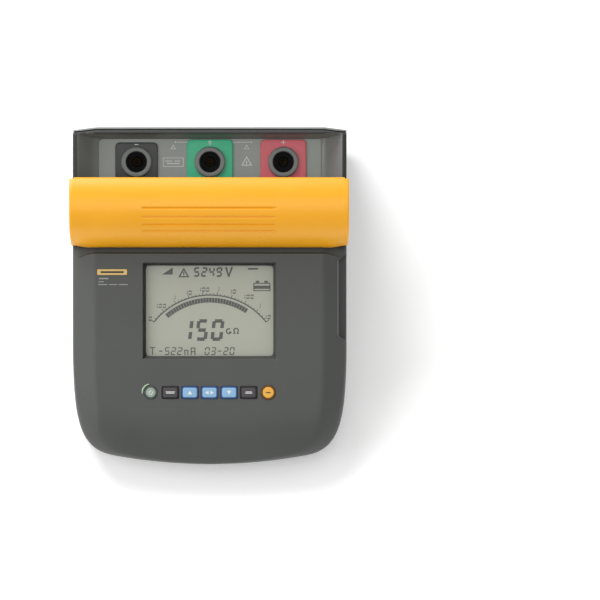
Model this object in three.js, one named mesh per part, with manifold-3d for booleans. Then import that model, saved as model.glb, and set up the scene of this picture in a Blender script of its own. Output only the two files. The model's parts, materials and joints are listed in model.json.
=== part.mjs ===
// Insulation resistance tester: a wedge-shaped bench case with a tilted face, three high-voltage
// sockets in a well, a bridge handle over the well, a display and a row of seven keys.
//
// Case frame: millimetres, +Z up, the feet stand on z = 0, the user sits at -Y.
// Face frame: u = X, v runs up the face from the user's edge, w points out of the face.
import * as THREE from "three";
import { mergeVertices } from "three/addons/utils/BufferGeometryUtils.js";
import Module from "manifold-3d";

const wasm = await Module();
wasm.setup();

// ---- Driving dimensions, in millimetres and degrees ----
const gap = 0.3; // left between pieces that touch
const wall = 3; // moulded wall
const caseWidth = 238;
const caseDepth = 330;
const tilt = 27.5; // slope of the face
const frontRise = 36; // height of the face plane above the table at the user's edge
const footHeight = 3.5; // how far the feet lift the base

const lipStep = 2.7; // rear housing stands proud of the front one at the socket end
const partingDepth = 26; // parting plane below the face plane
const sealThickness = 1;
const sealInset = 0.4; // seal short of the outside
const bevelWidth = 19;
const bevelDrop = 12;
const noseDrop = 10;
const noseRun = 42;
const endChamfer = 2.4; // how far the socket end slopes off towards the sides
const cornerRise = 92; // the user's corners start this far up the sides
const cornerReach = 36; // and end this far in from them
const cornerSag = 7.5; // bow of the user's edge between the corners
const cornerLow = [6.7, 12.5]; // the corner curve's lower handle: in from the side, up from the edge
const cornerHigh = [1.2, 35]; // and its upper handle
const heelRadius = 22; // round between base and back
const heelTop = 27.75; // height at which the end wall meets the back
const toeRadius = 6; // round between base and the user's end

const wellLength = 103; // socket well, from the face's far end
const wellDepth = 34; // to the top of the socket panel
const rimDrop = 12; // rim of the well below the face plane
const grooveWidth = 6; // groove in front of the handle
const grooveDepth = 6;
const wellSlope = 18.3; // sideways run of the sloping cheeks
const cheekRim = 3.7; // flat rim left on top of each cheek
const wellEndRun = 4.9; // run of the slope at the socket end
const endRim = 2.3;
const panelThickness = 3;
const panelLedge = 5; // ledge that the panel rests on, under its edges

const handleOverhang = 2; // handle past each side wall
const crownRadius = 38;
const crownLap = 1.33; // the crown's edge reaches this far over the groove
const crownCentreW = -10;
const crownStart = 172; // degrees, at the user's side
const crownEnd = 53.6;
const handleThickness = 5;
const linerThickness = 3;
const legThickness = 4.2;
const legReach = [24, 16]; // legs at the parting plane, to the user's and the socket side
const linerInset = 8; // liner short of each side wall
const linerTrim = [16, 4]; // degrees the liner stops short of the crown's two ends
const handleScrewOffsets = [-13.3, 9.7]; // along the face from the crown's centre
const handleScrewDepth = 20; // below the face plane
const handleScrewLength = 6.2;
const handleHeadDepth = 2.5;
const handleHeadHeight = 1.8;

const socketSpacing = 64;
const socketMargin = 20.3; // socket centres from the panel's far edge
const ringRadius = 13.3;
const boreRadius = 9.2;
const barrelRadius = 11.6;
const ringHeight = 3;
const boreDepth = 24;
const barrelFloor = 3;
const bezelThickness = 1.5;
const bezelHeight = 46;
const bezelRadius = 4;
const contactRadius = 4;
const contactBore = 2;
const contactLength = 9;
const contactFloor = 2;
const surroundWidths = [37, 40, 40]; // black, green, red
const surroundMargins = [3.3, 0.8, 0.8]; // from each surround's far edge to the panel's

const glassWidth = 110.6; // visible opening of the display
const glassHeight = 78.6;
const displayMargin = 7.2; // between the window and the groove
const displayDepth = 5;
const displayFlare = 2.88; // run of the opening's sloping sides, from the window to 1 above the face
const displayFrontWall = 7; // thick wall around the opening
const windowMargin = 3.7; // window past its opening on each side
const windowThickness = 2;
const lcdThickness = 2.8;
const backlightThickness = 4.4;
const frameWall = 3;
const displayBoardEars = 13; // board past the window on each side

const keyDrop = 31.5; // key centres below the display's opening
const keyPitch = 17;
const keyWidth = 13.5;
const keyHeight = 9.6;
const keyCorner = 1.2;
const powerKeyRadius = 5.2;
const testKeyRadius = 5.75;
const keyClearance = 0.4;
const keyProud = 1.3;
const keyFlange = 1.2;
const keyFlangeReach = 1.2; // flange past a square cap
const roundFlangeReach = 1.6; // and past a round one
const keyStem = 2.3;
const keyStemRadius = 2.5;
const keyTravel = 1.2;
const matThickness = 2;
const matMargin = 12; // mat past the middle of the outer keys
const matHeight = 22;
const keyBoardMargin = 4; // board past the mat
const guardRadius = 7.4;
const guardWidth = 1.5;
const guardTop = 0.6; // above the face
const guardFoot = 1.5; // below the face
const guardAngles = [100, 190];

const portLength = 75.7; // side recess, along the face
const portMargin = 1.4; // between the recess and the groove
const portSlope = 6;
const portDepth = 8.1;
const portFloor = 3; // wall left under the recess
const irWidth = 22;
const irHeight = 8;
const irDepth = 15.5; // middle of the infrared window, below the face plane

const badgeWidth = 26;
const badgeHeight = 5;
const badgeU = -84.4;
const badgeMargin = 16.5; // plate's centre from the groove
const badgeRecess = 0.5;
const badgeThickness = 0.8;

const boardThickness = 1.6;
const boardRise = 6; // main board above the floor of the case
const screwShank = 1.5;
const screwHead = 3;
const bossRadius = 4.5;
const housingScrewInset = 8; // in from the side walls
const housingScrewFront = 55; // first pair, along the face
const housingScrewOffsets = [3, 5.1]; // second pair past the well's start, third before the panel's end
const housingScrewReach = 4.5; // thread in the front housing
const screwFlange = 5; // plastic between a screw's head and the parting plane
const counterbore = 0.5; // clearance round a screw's head
const footRadius = 9;
const footSink = 1.5;
const footChamfer = 1.2;
const footInset = 31; // foot centres in from the side walls
const footFront = 47; // and in from the user's end
const footBack = 39; // and from the back

const inletU = -70;
const inletDepth = 84; // inlet below the face plane
const inletFlange = [50, 28];
const inletBody = [34, 24];
const inletHollow = [28, 18];
const inletCorner = 2;
const inletFlangeThickness = 2;
const inletHollowDepth = 18;
const inletFloor = 3;
const inletRecess = 0.2; // seat of the flange below the front housing's end
const pinSize = [2, 4];
const pinLength = 8;
const pinPlaces = [[-7, -2], [7, -2], [0, 3]]; // from the inlet's centre

const boardWidth = 172;
const boardDepth = 162;
const boardGap = 10; // between the main board and the battery
const boardScrewInset = 8;
const boardScrewHole = 1.6;
const boardScrewSize = [6, 1.3, 2.8]; // length, shank and head radius
const postRadius = 4;
const coilCore = [44, 42, 10]; // transformer core, X Y Z
const coilSize = [32, 30, 36];
const coilPlace = [-44, -37]; // X, and Y from the board's far edge
const moduleSize = [52, 48, 26];
const modulePlace = [16, -40];
const capacitorRadius = 11;
const capacitorHeight = 34;
const capacitorPlace = [60, -38];
const beeperRadius = 8;
const beeperHeight = 9;
const beeperMouth = [1.5, 3]; // radius and depth
const beeperPlace = [56, -110];
const batterySize = [134, 67, 60];
const batteryBackGap = 11.25; // to the wall behind it, at the battery's top
const strapThickness = 2;
const strapWidth = 24;
const strapInset = 22; // from the battery's near end
const strapFoot = 16;

// ---- Worked-out values ----
const halfWidth = caseWidth / 2;
const slope = THREE.MathUtils.degToRad(tilt);
const sin = Math.sin(slope);
const frontEdgeY = -caseDepth / 2 - noseDrop * sin;
// Along the face, to where the end wall that runs down to the back's heel leaves it.
const faceLength = (caseDepth / 2 - frontEdgeY + (heelTop - frontRise) * Math.tan(slope)) * Math.cos(slope);
const frontTop = faceLength - lipStep;
const wellStart = faceLength - wellLength;
const rearTopW = -partingDepth - sealThickness - 2 * gap;
const baseZ = footHeight;
const floorZ = baseZ + wall;
const panelHalf = halfWidth - cheekRim - wellSlope;
const panelEnd = frontTop - endRim - wellEndRun;
const panelFloor = -wellDepth - panelThickness - gap;
const grooveStart = wellStart - grooveWidth;
const crownCentreV = wellStart - crownLap - crownRadius * Math.cos(THREE.MathUtils.degToRad(crownStart));
const handleScrewV = handleScrewOffsets.map((offset) => crownCentreV + offset);
const displayV = grooveStart - displayMargin - windowMargin - glassHeight / 2;
const keyV = displayV - glassHeight / 2 - keyDrop;
const socketV = panelEnd - socketMargin;
const badgeV = grooveStart - badgeMargin;
const portEnd = grooveStart - portMargin;
const portStart = portEnd - portLength;
const portMiddle = (portStart + portEnd) / 2;
const [batteryWidth, batteryDepth, batteryHeight] = batterySize;
const batteryBottom = floorZ + gap;
const batteryTop = batteryBottom + batteryHeight;
// Inside of the end wall at the height of the battery's top.
const endWallY = frontEdgeY + (frontTop - wall) / Math.cos(slope)
  - (batteryTop - frontRise) * Math.tan(slope);
const batteryStart = endWallY - batteryBackGap - batteryDepth;
const boardEnd = batteryStart - boardGap;
const boardStart = boardEnd - boardDepth;
const past = 1; // how far a cutter runs past what it cuts

// ---- Materials ----
function finish(color, roughness, metalness = 0) {
  return new THREE.MeshStandardMaterial({ color, roughness, metalness });
}
const darkGrey = finish(0x5a5c5a, 0.55);
const panelGrey = finish(0x7a7f7b, 0.5);
const yellow = finish(0xfdbb20, 0.45);
const softBlack = finish(0x2b2b2c, 0.8);
const black = finish(0x303132, 0.5);
const brass = finish(0xb5934b, 0.35, 1);
const steel = finish(0xa7a9ab, 0.35, 1);
const circuitGreen = finish(0x2d5a3c, 0.5);
const glassGrey = finish(0xabac9c, 0.1);
const keyDark = finish(0x4d484d, 0.6);
const keyBlue = finish(0xa8d4f5, 0.55);
const keyPale = finish(0xb3bfb2, 0.55);
const keyYellow = finish(0xf0b030, 0.55);
const paleGreen = finish(0xb9cdb8, 0.5);
const socketGreen = finish(0x34ad7c, 0.5);
const socketRed = finish(0xcc6068, 0.5);
const badgeGold = finish(0xe0b860, 0.4);
const batteryGrey = finish(0x55585e, 0.6);
const tapeYellow = finish(0xd8b545, 0.6);
const capacitorBlue = finish(0x2c4f8c, 0.4);

// ---- Shapes ----
function polygon(points) {
  return new THREE.Shape(points.map(([x, y]) => new THREE.Vector2(x, y)));
}

function rectangle(x, y, width, height) {
  const [w, h] = [width / 2, height / 2];
  return polygon([[x - w, y - h], [x + w, y - h], [x + w, y + h], [x - w, y + h]]);
}

function roundRectangle(x, y, width, height, radius) {
  const [w, h] = [width / 2 - radius, height / 2 - radius];
  const shape = new THREE.Shape();
  shape.absarc(x + w, y - h, radius, -Math.PI / 2, 0, false);
  shape.absarc(x + w, y + h, radius, 0, Math.PI / 2, false);
  shape.absarc(x - w, y + h, radius, Math.PI / 2, Math.PI, false);
  shape.absarc(x - w, y - h, radius, Math.PI, 1.5 * Math.PI, false);
  return shape;
}

function circle(x, y, radius) {
  return new THREE.Shape().absarc(x, y, radius, 0, 2 * Math.PI, false);
}

// Outline of the case seen square to its face, drawn in by inset and ending at v = top.
function faceOutline(inset, top) {
  const half = halfWidth - inset;
  const end = halfWidth - cornerReach;
  const shape = new THREE.Shape();
  shape.moveTo(0, inset);
  shape.quadraticCurveTo(end / 2, inset, end, inset + cornerSag);
  shape.bezierCurveTo(
    half - cornerLow[0], inset + cornerLow[1],
    half - cornerHigh[0], inset + cornerHigh[1],
    half, inset + cornerRise,
  );
  shape.lineTo(half, top - endChamfer);
  shape.lineTo(half - bevelWidth, top);
  shape.lineTo(bevelWidth - half, top);
  shape.lineTo(-half, top - endChamfer);
  shape.lineTo(-half, inset + cornerRise);
  shape.bezierCurveTo(
    cornerHigh[0] - half, inset + cornerHigh[1],
    cornerLow[0] - half, inset + cornerLow[1],
    -end, inset + cornerSag,
  );
  shape.quadraticCurveTo(-end / 2, inset, 0, inset);
  return shape;
}

// ---- Solids: each extrusion runs from one coordinate to the other along w, v, u or z ----
function extrude(shape, depth, curveSegments) {
  return new THREE.ExtrudeGeometry(shape, { depth, bevelEnabled: false, curveSegments });
}

function alongW(shape, from, to, curveSegments = 8) {
  return extrude(shape, to - from, curveSegments).translate(0, 0, from);
}

// The shape is drawn in (u, w).
function alongV(shape, from, to, curveSegments = 8) {
  return extrude(shape, to - from, curveSegments).rotateX(Math.PI / 2).translate(0, to, 0);
}

// The shape is drawn in (v, w), or in (y, z) in the case frame.
function alongU(shape, from, to, curveSegments = 8) {
  const turn = new THREE.Matrix4().makeBasis(
    new THREE.Vector3(0, 1, 0),
    new THREE.Vector3(0, 0, 1),
    new THREE.Vector3(1, 0, 0),
  );
  return extrude(shape, to - from, curveSegments).applyMatrix4(turn).translate(from, 0, 0);
}

function box(x0, x1, y0, y1, z0, z1) {
  return new THREE.BoxGeometry(x1 - x0, y1 - y0, z1 - z0)
    .translate((x0 + x1) / 2, (y0 + y1) / 2, (z0 + z1) / 2);
}

// A turned piece about the w or z axis, from [radius, height] points that start and end on the axis.
function turned(points, segments = 20) {
  const profile = points.map(([r, h]) => new THREE.Vector2(r, h));
  return new THREE.LatheGeometry(profile, segments).rotateX(Math.PI / 2);
}

// A pan-head screw with the underside of its head at height 0 and its shank below.
function screw(length, shank = screwShank, head = screwHead) {
  const rise = head * 0.6;
  return turned([[0, -length], [shank, -length], [shank, 0], [head, 0], [head, rise], [0, rise]], 14);
}

const faceToCase = new THREE.Matrix4()
  .makeTranslation(0, frontEdgeY, frontRise)
  .multiply(new THREE.Matrix4().makeRotationX(slope));

function solid(geometry) {
  const bare = geometry.clone();
  bare.deleteAttribute("normal");
  bare.deleteAttribute("uv");
  const merged = mergeVertices(bare, 1e-4);
  return new wasm.Manifold(new wasm.Mesh({
    numProp: 3,
    vertProperties: merged.attributes.position.array,
    triVerts: new Uint32Array(merged.index.array),
  }));
}

function cut(body, ...tools) {
  return tools.reduce((rest, tool) => rest.subtract(solid(tool)), body);
}

function join(body, ...pieces) {
  return pieces.reduce((whole, piece) => whole.add(solid(piece)), body);
}

function geometryOf(manifold) {
  const { vertProperties, triVerts } = manifold.getMesh();
  const geometry = new THREE.BufferGeometry();
  geometry.setAttribute("position", new THREE.BufferAttribute(vertProperties, 3));
  geometry.setIndex(new THREE.BufferAttribute(triVerts, 1));
  geometry.computeVertexNormals();
  return geometry;
}

const tester = new THREE.Group();
const face = new THREE.Group(); // everything laid out in the face frame
face.rotation.x = slope;
face.position.set(0, frontEdgeY, frontRise);
tester.add(face);

function add(group, name, material, shape) {
  const geometry = shape.isBufferGeometry ? shape : geometryOf(shape);
  const piece = new THREE.Mesh(geometry, material);
  piece.name = name;
  group.add(piece);
  return piece;
}

// ---- Shared outlines and tools ----

// Handle leg, in (v, w): the crown's arc closed down to the parting plane, grown by margin.
function legShape(margin) {
  const shape = new THREE.Shape();
  const [start, end] = [crownStart, crownEnd].map(THREE.MathUtils.degToRad);
  shape.absarc(crownCentreV, crownCentreW, crownRadius + margin, end, start, false);
  shape.lineTo(crownCentreV - legReach[0] - margin, gap - partingDepth - margin);
  shape.lineTo(crownCentreV + legReach[1] + margin, gap - partingDepth - margin);
  return shape;
}

// Band of the crown between two radii and two angles, in (v, w).
function crownBand(outer, inner, startAngle, endAngle) {
  const [start, end] = [startAngle, endAngle].map(THREE.MathUtils.degToRad);
  const shape = new THREE.Shape();
  shape.absarc(crownCentreV, crownCentreW, outer, end, start, false);
  shape.absarc(crownCentreV, crownCentreW, inner, start, end, true);
  return shape;
}

// The well above its panel: two crossed troughs, so that its sides and its socket end slope.
function wellSpace() {
  const top = past;
  const rim = panelHalf + wellSlope;
  const across = polygon([
    [-panelHalf, panelFloor], [panelHalf, panelFloor], [panelHalf, -wellDepth],
    [rim, -rimDrop], [rim, top], [-rim, top], [-rim, -rimDrop], [-panelHalf, -wellDepth],
  ]);
  const along = polygon([
    [wellStart, panelFloor], [panelEnd, panelFloor], [panelEnd, -wellDepth],
    [panelEnd + wellEndRun, -rimDrop], [panelEnd + wellEndRun, top], [wellStart, top],
  ]);
  return solid(alongV(across, wellStart - wall, faceLength))
    .intersect(solid(alongU(along, -halfWidth, halfWidth)));
}

// Flaring opening in front of the display window.
function displaySpace() {
  const half = glassWidth / 2;
  const rise = glassHeight / 2;
  const across = polygon([
    [-half, -displayDepth - past], [half, -displayDepth - past], [half, -displayDepth],
    [half + displayFlare, past], [-half - displayFlare, past], [-half, -displayDepth],
  ]);
  const along = polygon([
    [displayV - rise, -displayDepth - past], [displayV + rise, -displayDepth - past],
    [displayV + rise, -displayDepth], [displayV + rise + displayFlare, past],
    [displayV - rise - displayFlare, past], [displayV - rise, -displayDepth],
  ]);
  const reach = displayFlare + past;
  return solid(alongV(across, displayV - rise - reach, displayV + rise + reach))
    .intersect(solid(alongU(along, -half - reach, half + reach)));
}

const keys = [
  { name: "key_power", material: keyPale, radius: powerKeyRadius },
  { name: "key_function", material: keyDark },
  { name: "key_up", material: keyBlue },
  { name: "key_left_right", material: keyBlue },
  { name: "key_down", material: keyBlue },
  { name: "key_info", material: keyDark },
  { name: "key_test", material: keyYellow, radius: testKeyRadius },
].map((key, index) => ({ ...key, u: (index - 3) * keyPitch }));

function keyShape(key, margin) {
  return key.radius
    ? circle(key.u, keyV, key.radius + margin)
    : roundRectangle(key.u, keyV, keyWidth + 2 * margin, keyHeight + 2 * margin, keyCorner);
}

// Crescent beside the power key, grown by margin.
function guardShape(margin) {
  const [from, to] = guardAngles.map(THREE.MathUtils.degToRad);
  const u = keys[0].u;
  const shape = new THREE.Shape();
  shape.absarc(u, keyV, guardRadius + guardWidth / 2 + margin, from, to, false);
  shape.absarc(u, keyV, guardRadius - guardWidth / 2 - margin, to, from, true);
  return shape;
}

const sides = [-1, 1];
const screwPlaces = [
  housingScrewFront, wellStart + housingScrewOffsets[0], panelEnd - housingScrewOffsets[1],
].flatMap((v) => sides.map((side) => [side * (halfWidth - housingScrewInset), v]));
const footPlaces = [footFront - caseDepth / 2, caseDepth / 2 - footBack]
  .flatMap((y) => sides.map((side) => [side * (halfWidth - footInset), y]));
const boardPlaces = [boardStart + boardScrewInset, boardEnd - boardScrewInset]
  .flatMap((y) => sides.map((side) => [side * (boardWidth / 2 - boardScrewInset), y]));
const socketPlaces = [-socketSpacing, 0, socketSpacing];
const pocketDepth = legThickness - handleOverhang + gap; // for the handle's legs, in the side walls

// ---- Housings ----
function frontHousing() {
  const low = -partingDepth - past;
  const section = polygon([
    [-halfWidth - past, low], [halfWidth + past, low],
    [halfWidth + past, -bevelDrop], [halfWidth, -bevelDrop], [halfWidth - bevelWidth, 0],
    [bevelWidth - halfWidth, 0], [-halfWidth, -bevelDrop], [-halfWidth - past, -bevelDrop],
  ]);
  const profile = new THREE.Shape();
  profile.moveTo(-past, low);
  profile.lineTo(faceLength, low);
  profile.lineTo(faceLength, -rimDrop);
  profile.lineTo(crownCentreV, -rimDrop);
  profile.lineTo(crownCentreV, -grooveDepth);
  profile.lineTo(grooveStart, -grooveDepth);
  profile.lineTo(grooveStart, 0);
  profile.lineTo(noseRun, 0);
  profile.quadraticCurveTo(noseRun / 3, 0, 0, -noseDrop);
  profile.lineTo(-past, -noseDrop);

  // Hollow under the face, less the thick walls that it goes round.
  const hollow = solid(alongW(faceOutline(wall, wellStart - wall), low, -wall))
    .intersect(solid(alongU(insideProfile(low), -halfWidth, halfWidth)));
  const [thickU, thickV] = [glassWidth, glassHeight].map((size) => size / 2 + displayFrontWall);
  const bevelCore = polygon([
    [halfWidth - bevelWidth - 2, past], [halfWidth - bevelWidth - 2, -wall],
    [halfWidth - wall, past - bevelDrop - wall], [halfWidth + past, past - bevelDrop - wall],
    [halfWidth + past, past],
  ]);
  const cavity = cut(
    hollow,
    box(-thickU, thickU, displayV - thickV, displayV + thickV, -displayDepth, 0),
    box(halfWidth - portDepth - wall, halfWidth, portStart - wall, portEnd + wall, low - past, 0),
    alongV(bevelCore, 0, faceLength),
    alongV(bevelCore, 0, faceLength).rotateZ(Math.PI).translate(0, faceLength, 0),
    ...screwPlaces.slice(0, 2).map(([u, v]) => alongW(circle(u, v, bossRadius), low, 0, 6)),
  );
  const body = solid(alongW(faceOutline(0, frontTop), -partingDepth, past))
    .intersect(solid(alongV(section, 0, faceLength)))
    .intersect(solid(alongU(profile, -halfWidth, halfWidth)))
    .subtract(cavity);
  const pan = box(
    -panelHalf - wall, panelHalf + wall, wellStart - wall, panelEnd + wall,
    panelFloor - wall, gap - partingDepth,
  );
  const flare = portSlope * (1 + past / portDepth);
  const port = polygon([
    [halfWidth - portDepth, portStart + portSlope], [halfWidth + past, portStart + portSlope - flare],
    [halfWidth + past, portEnd - portSlope + flare], [halfWidth - portDepth, portEnd - portSlope],
  ]);
  const holes = [
    ...screwPlaces.map(([u, v]) => (
      alongW(circle(u, v, screwShank + gap), low, housingScrewReach + 1 - partingDepth, 5)
    )),
    ...keys.map((key) => alongW(keyShape(key, keyClearance), -wall - past, past, key.radius ? 8 : 2)),
    alongW(guardShape(gap), -guardFoot - gap, past, 8),
    alongW(rectangle(badgeU, badgeV, badgeWidth + 2 * gap, badgeHeight + 2 * gap), -badgeRecess, past),
    alongW(port, portFloor - partingDepth, past),
    alongU(
      rectangle(portMiddle, -irDepth, irWidth + 2 * gap, irHeight + 2 * gap),
      halfWidth - portDepth - wall - past, halfWidth - portDepth + past,
    ),
    box(
      panelLedge - panelHalf, panelHalf - panelLedge, wellStart + panelLedge, panelEnd - panelLedge,
      panelFloor - wall - past, panelFloor + past,
    ),
    ...sides.map((side) => sideways(side, legShape(gap + 0.1), halfWidth - pocketDepth, halfWidth + past)),
    ...handleScrewHoles(screwShank + gap, halfWidth - pocketDepth - handleScrewLength + gap, halfWidth, 5),
  ];
  return cut(join(body, pan).subtract(wellSpace()).subtract(displaySpace()), ...holes);
}

// Space under the face that follows the rolled nose, in (v, w).
function insideProfile(low) {
  const shape = new THREE.Shape();
  shape.moveTo(wall, low - past);
  shape.lineTo(faceLength, low - past);
  shape.lineTo(faceLength, -grooveDepth - wall);
  shape.lineTo(grooveStart - wall, -grooveDepth - wall);
  shape.lineTo(grooveStart - wall, 0);
  shape.lineTo(noseRun + wall, 0);
  shape.quadraticCurveTo(noseRun / 3 + wall, -wall, wall, -noseDrop - wall);
  return shape;
}

// An extrusion along u on one side of the case, between two distances from the middle.
function sideways(side, shape, from, to, curveSegments = 10) {
  return side > 0
    ? alongU(shape, from, to, curveSegments)
    : alongU(shape, -to, -from, curveSegments);
}

function handleScrewHoles(radius, from, to, curveSegments) {
  return sides.flatMap((side) => handleScrewV.map((v) => (
    sideways(side, circle(v, -handleScrewDepth, radius), from, to, curveSegments)
  )));
}

// Side view of the case in (y, z), from the base up, drawn in by inset.
function sideProfile(inset) {
  const [back, base, top] = [caseDepth / 2 - inset, baseZ + inset, faceLength];
  const heel = heelRadius - inset;
  const outside = inset - caseDepth / 2 - 2 * toeRadius;
  const toe = inset - caseDepth / 2 + (frontRise - baseZ) * Math.tan(slope);
  const shape = new THREE.Shape();
  shape.moveTo(outside, top);
  shape.lineTo(outside, base + toeRadius);
  shape.lineTo(toe - toeRadius, base + toeRadius);
  shape.quadraticCurveTo(toe, base, toe + toeRadius, base);
  shape.lineTo(back - heel, base);
  shape.absarc(back - heel, base + heel, heel, -Math.PI / 2, 0, false);
  shape.lineTo(back, top);
  return shape;
}

// Inlet outlines in (u, w), grown by margin.
function inletShape(width, height, margin = 0) {
  return roundRectangle(inletU, -inletDepth, width + 2 * margin, height + 2 * margin, inletCorner);
}
const inletSeat = frontTop - inletRecess;

function rearHousing() {
  const low = -faceLength;
  const inCase = (geometry) => geometry.applyMatrix4(faceToCase);
  const shell = solid(inCase(alongW(faceOutline(0, faceLength), low, rearTopW)))
    .intersect(solid(alongU(sideProfile(0), -halfWidth, halfWidth)));
  const cavity = solid(inCase(alongW(faceOutline(wall, frontTop - wall), low, rearTopW + past)))
    .intersect(solid(alongU(sideProfile(wall), -halfWidth, halfWidth)));
  const bosses = screwPlaces.map(([u, v]) => (
    solid(inCase(alongW(circle(u, v, bossRadius), low, rearTopW, 6)))
      .intersect(solid(alongU(sideProfile(0), -halfWidth, halfWidth)))
  ));
  const posts = boardPlaces.map(([x, y]) => (
    alongW(circle(x, y, postRadius), floorZ - past, floorZ + boardRise - gap, 4)
  ));
  const hollow = bosses.reduce((body, boss) => body.add(boss), shell.subtract(cavity));
  return cut(
    join(hollow, ...posts),
    ...screwPlaces.map(([u, v]) => inCase(alongW(circle(u, v, screwShank + gap), low, 0, 5))),
    ...screwPlaces.map(([u, v]) => (
      inCase(alongW(circle(u, v, screwHead + counterbore), low, rearTopW - screwFlange, 6))
    )),
    ...boardPlaces.map(([x, y]) => alongW(circle(x, y, boardScrewHole), floorZ + 0.8, frontRise, 4)),
    ...footPlaces.map(([x, y]) => alongW(circle(x, y, footRadius + gap), 0, baseZ + footSink, 8)),
    inCase(alongV(inletShape(...inletFlange, gap), inletSeat, faceLength + past, 4)),
    inCase(alongV(inletShape(...inletBody, gap), frontTop - 4 * wall, faceLength + past, 4)),
  );
}

add(face, "front_housing", darkGrey, frontHousing());
add(tester, "rear_housing", darkGrey, rearHousing());
add(face, "housing_seal", softBlack, cut(
  solid(alongW(faceOutline(sealInset, frontTop - sealInset), rearTopW + gap, -partingDepth - gap)),
  alongW(faceOutline(wall, frontTop - wall), rearTopW, 0),
  ...screwPlaces.map(([u, v]) => alongW(circle(u, v, bossRadius), rearTopW, 0, 6)),
));

screwPlaces.forEach(([u, v], index) => {
  const length = screwFlange + sealThickness + 2 * gap + housingScrewReach;
  const piece = add(face, `housing_screw_${index + 1}`, steel, screw(length).rotateX(Math.PI));
  piece.position.set(u, v, rearTopW - screwFlange - gap);
});

footPlaces.forEach(([x, y], index) => {
  const piece = add(tester, `foot_${index + 1}`, softBlack, turned([
    [0, 0], [footRadius - footChamfer, 0], [footRadius, footChamfer],
    [footRadius, footHeight + footSink - gap], [0, footHeight + footSink - gap],
  ], 24));
  piece.position.set(x, y, 0);
});

// ---- Handle ----
function carryHandle() {
  const half = halfWidth + handleOverhang;
  const shell = solid(alongU(
    crownBand(crownRadius, crownRadius - handleThickness, crownStart, crownEnd), -half, half, 16,
  ));
  const legs = sides.map((side) => sideways(side, legShape(0), half - legThickness, half, 16));
  return cut(
    join(shell, ...legs),
    ...handleScrewHoles(screwShank + gap, half - legThickness - past, half + past, 5),
    ...handleScrewHoles(screwHead + gap, half - handleHeadDepth, half + past, 6),
  );
}

add(face, "carry_handle", yellow, carryHandle());
add(face, "handle_liner", softBlack, alongU(
  crownBand(
    crownRadius - handleThickness - gap, crownRadius - handleThickness - gap - linerThickness,
    crownStart - linerTrim[0], crownEnd + linerTrim[1],
  ),
  linerInset - halfWidth, halfWidth - linerInset, 14,
));
sides.flatMap((side) => handleScrewV.map((v) => [side, v])).forEach(([side, v], index) => {
  const piece = add(face, `handle_screw_${index + 1}`, steel, turned([
    [0, -handleScrewLength], [screwShank, -handleScrewLength], [screwShank, 0], [screwHead, 0],
    [screwHead, handleHeadHeight], [0, handleHeadHeight],
  ], 14));
  piece.rotation.y = (side * Math.PI) / 2;
  piece.position.set(side * (halfWidth + handleOverhang - handleHeadDepth + gap), v, -handleScrewDepth);
});

// ---- Socket panel and sockets ----
const socketTop = gap + bezelThickness - wellDepth; // top face of a socket surround
const panelHole = 2 * (barrelRadius + gap); // square, hidden under its surround
add(face, "terminal_panel", panelGrey, cut(
  solid(alongW(
    rectangle(0, (wellStart + panelEnd) / 2, 2 * (panelHalf - gap), panelEnd - wellStart - 2 * gap),
    -wellDepth - panelThickness, -wellDepth,
  )),
  ...socketPlaces.map((u) => (
    alongW(rectangle(u, socketV, panelHole, panelHole), panelFloor, 0)
  )),
));

const socketKinds = [
  { name: "black", material: black },
  { name: "green", material: socketGreen },
  { name: "red", material: socketRed },
];
socketKinds.forEach(({ name, material }, index) => {
  const u = socketPlaces[index];
  const width = surroundWidths[index];
  const end = panelEnd - surroundMargins[index];
  add(face, `socket_bezel_${name}`, material, cut(
    solid(alongW(
      roundRectangle(u, end - bezelHeight / 2, width, bezelHeight, bezelRadius),
      gap - wellDepth, socketTop, 4,
    )),
    alongW(circle(u, socketV, (barrelRadius + gap) / Math.cos(Math.PI / 8)), panelFloor, 0, 4),
  ));
  const barrel = add(face, `socket_barrel_${name}`, panelGrey, turned([
    [0, -boreDepth - barrelFloor], [barrelRadius, -boreDepth - barrelFloor],
    [barrelRadius, -ringHeight], [ringRadius, -ringHeight], [ringRadius, 0], [boreRadius, 0],
    [boreRadius, -boreDepth], [0, -boreDepth],
  ], 16));
  barrel.position.set(u, socketV, socketTop + gap + ringHeight);
  const contact = add(face, `socket_contact_${name}`, brass, turned([
    [0, 0], [contactRadius, 0], [contactRadius, contactLength],
    [contactBore, contactLength], [contactBore, contactFloor], [0, contactFloor],
  ], 16));
  contact.position.set(u, socketV, socketTop + 2 * gap + ringHeight - boreDepth);
});

// ---- Display ----
const windowSize = [glassWidth + 2 * windowMargin, glassHeight + 2 * windowMargin];
const windowTop = -displayDepth - gap;
const lcdTop = windowTop - windowThickness - gap;
const backlightTop = lcdTop - lcdThickness - gap;
const displayBack = backlightTop - backlightThickness;
add(face, "display_window", glassGrey, alongW(
  rectangle(0, displayV, ...windowSize), windowTop - windowThickness, windowTop,
));
add(face, "lcd_panel", glassGrey, alongW(
  rectangle(0, displayV, ...windowSize), lcdTop - lcdThickness, lcdTop,
));
add(face, "lcd_backlight", finish(0xe8e8e2, 0.6), alongW(
  rectangle(0, displayV, ...windowSize), displayBack, backlightTop,
));
add(face, "display_frame", black, cut(
  solid(alongW(
    rectangle(0, displayV, ...windowSize.map((size) => size + 2 * gap + 2 * frameWall)),
    displayBack, windowTop,
  )),
  alongW(
    rectangle(0, displayV, ...windowSize.map((size) => size + 2 * gap)), displayBack - past, 0,
  ),
));
add(face, "display_board", circuitGreen, alongW(
  rectangle(0, displayV, windowSize[0] + 2 * displayBoardEars, windowSize[1] + 2 * frameWall),
  displayBack - gap - boardThickness, displayBack - gap,
));

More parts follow.
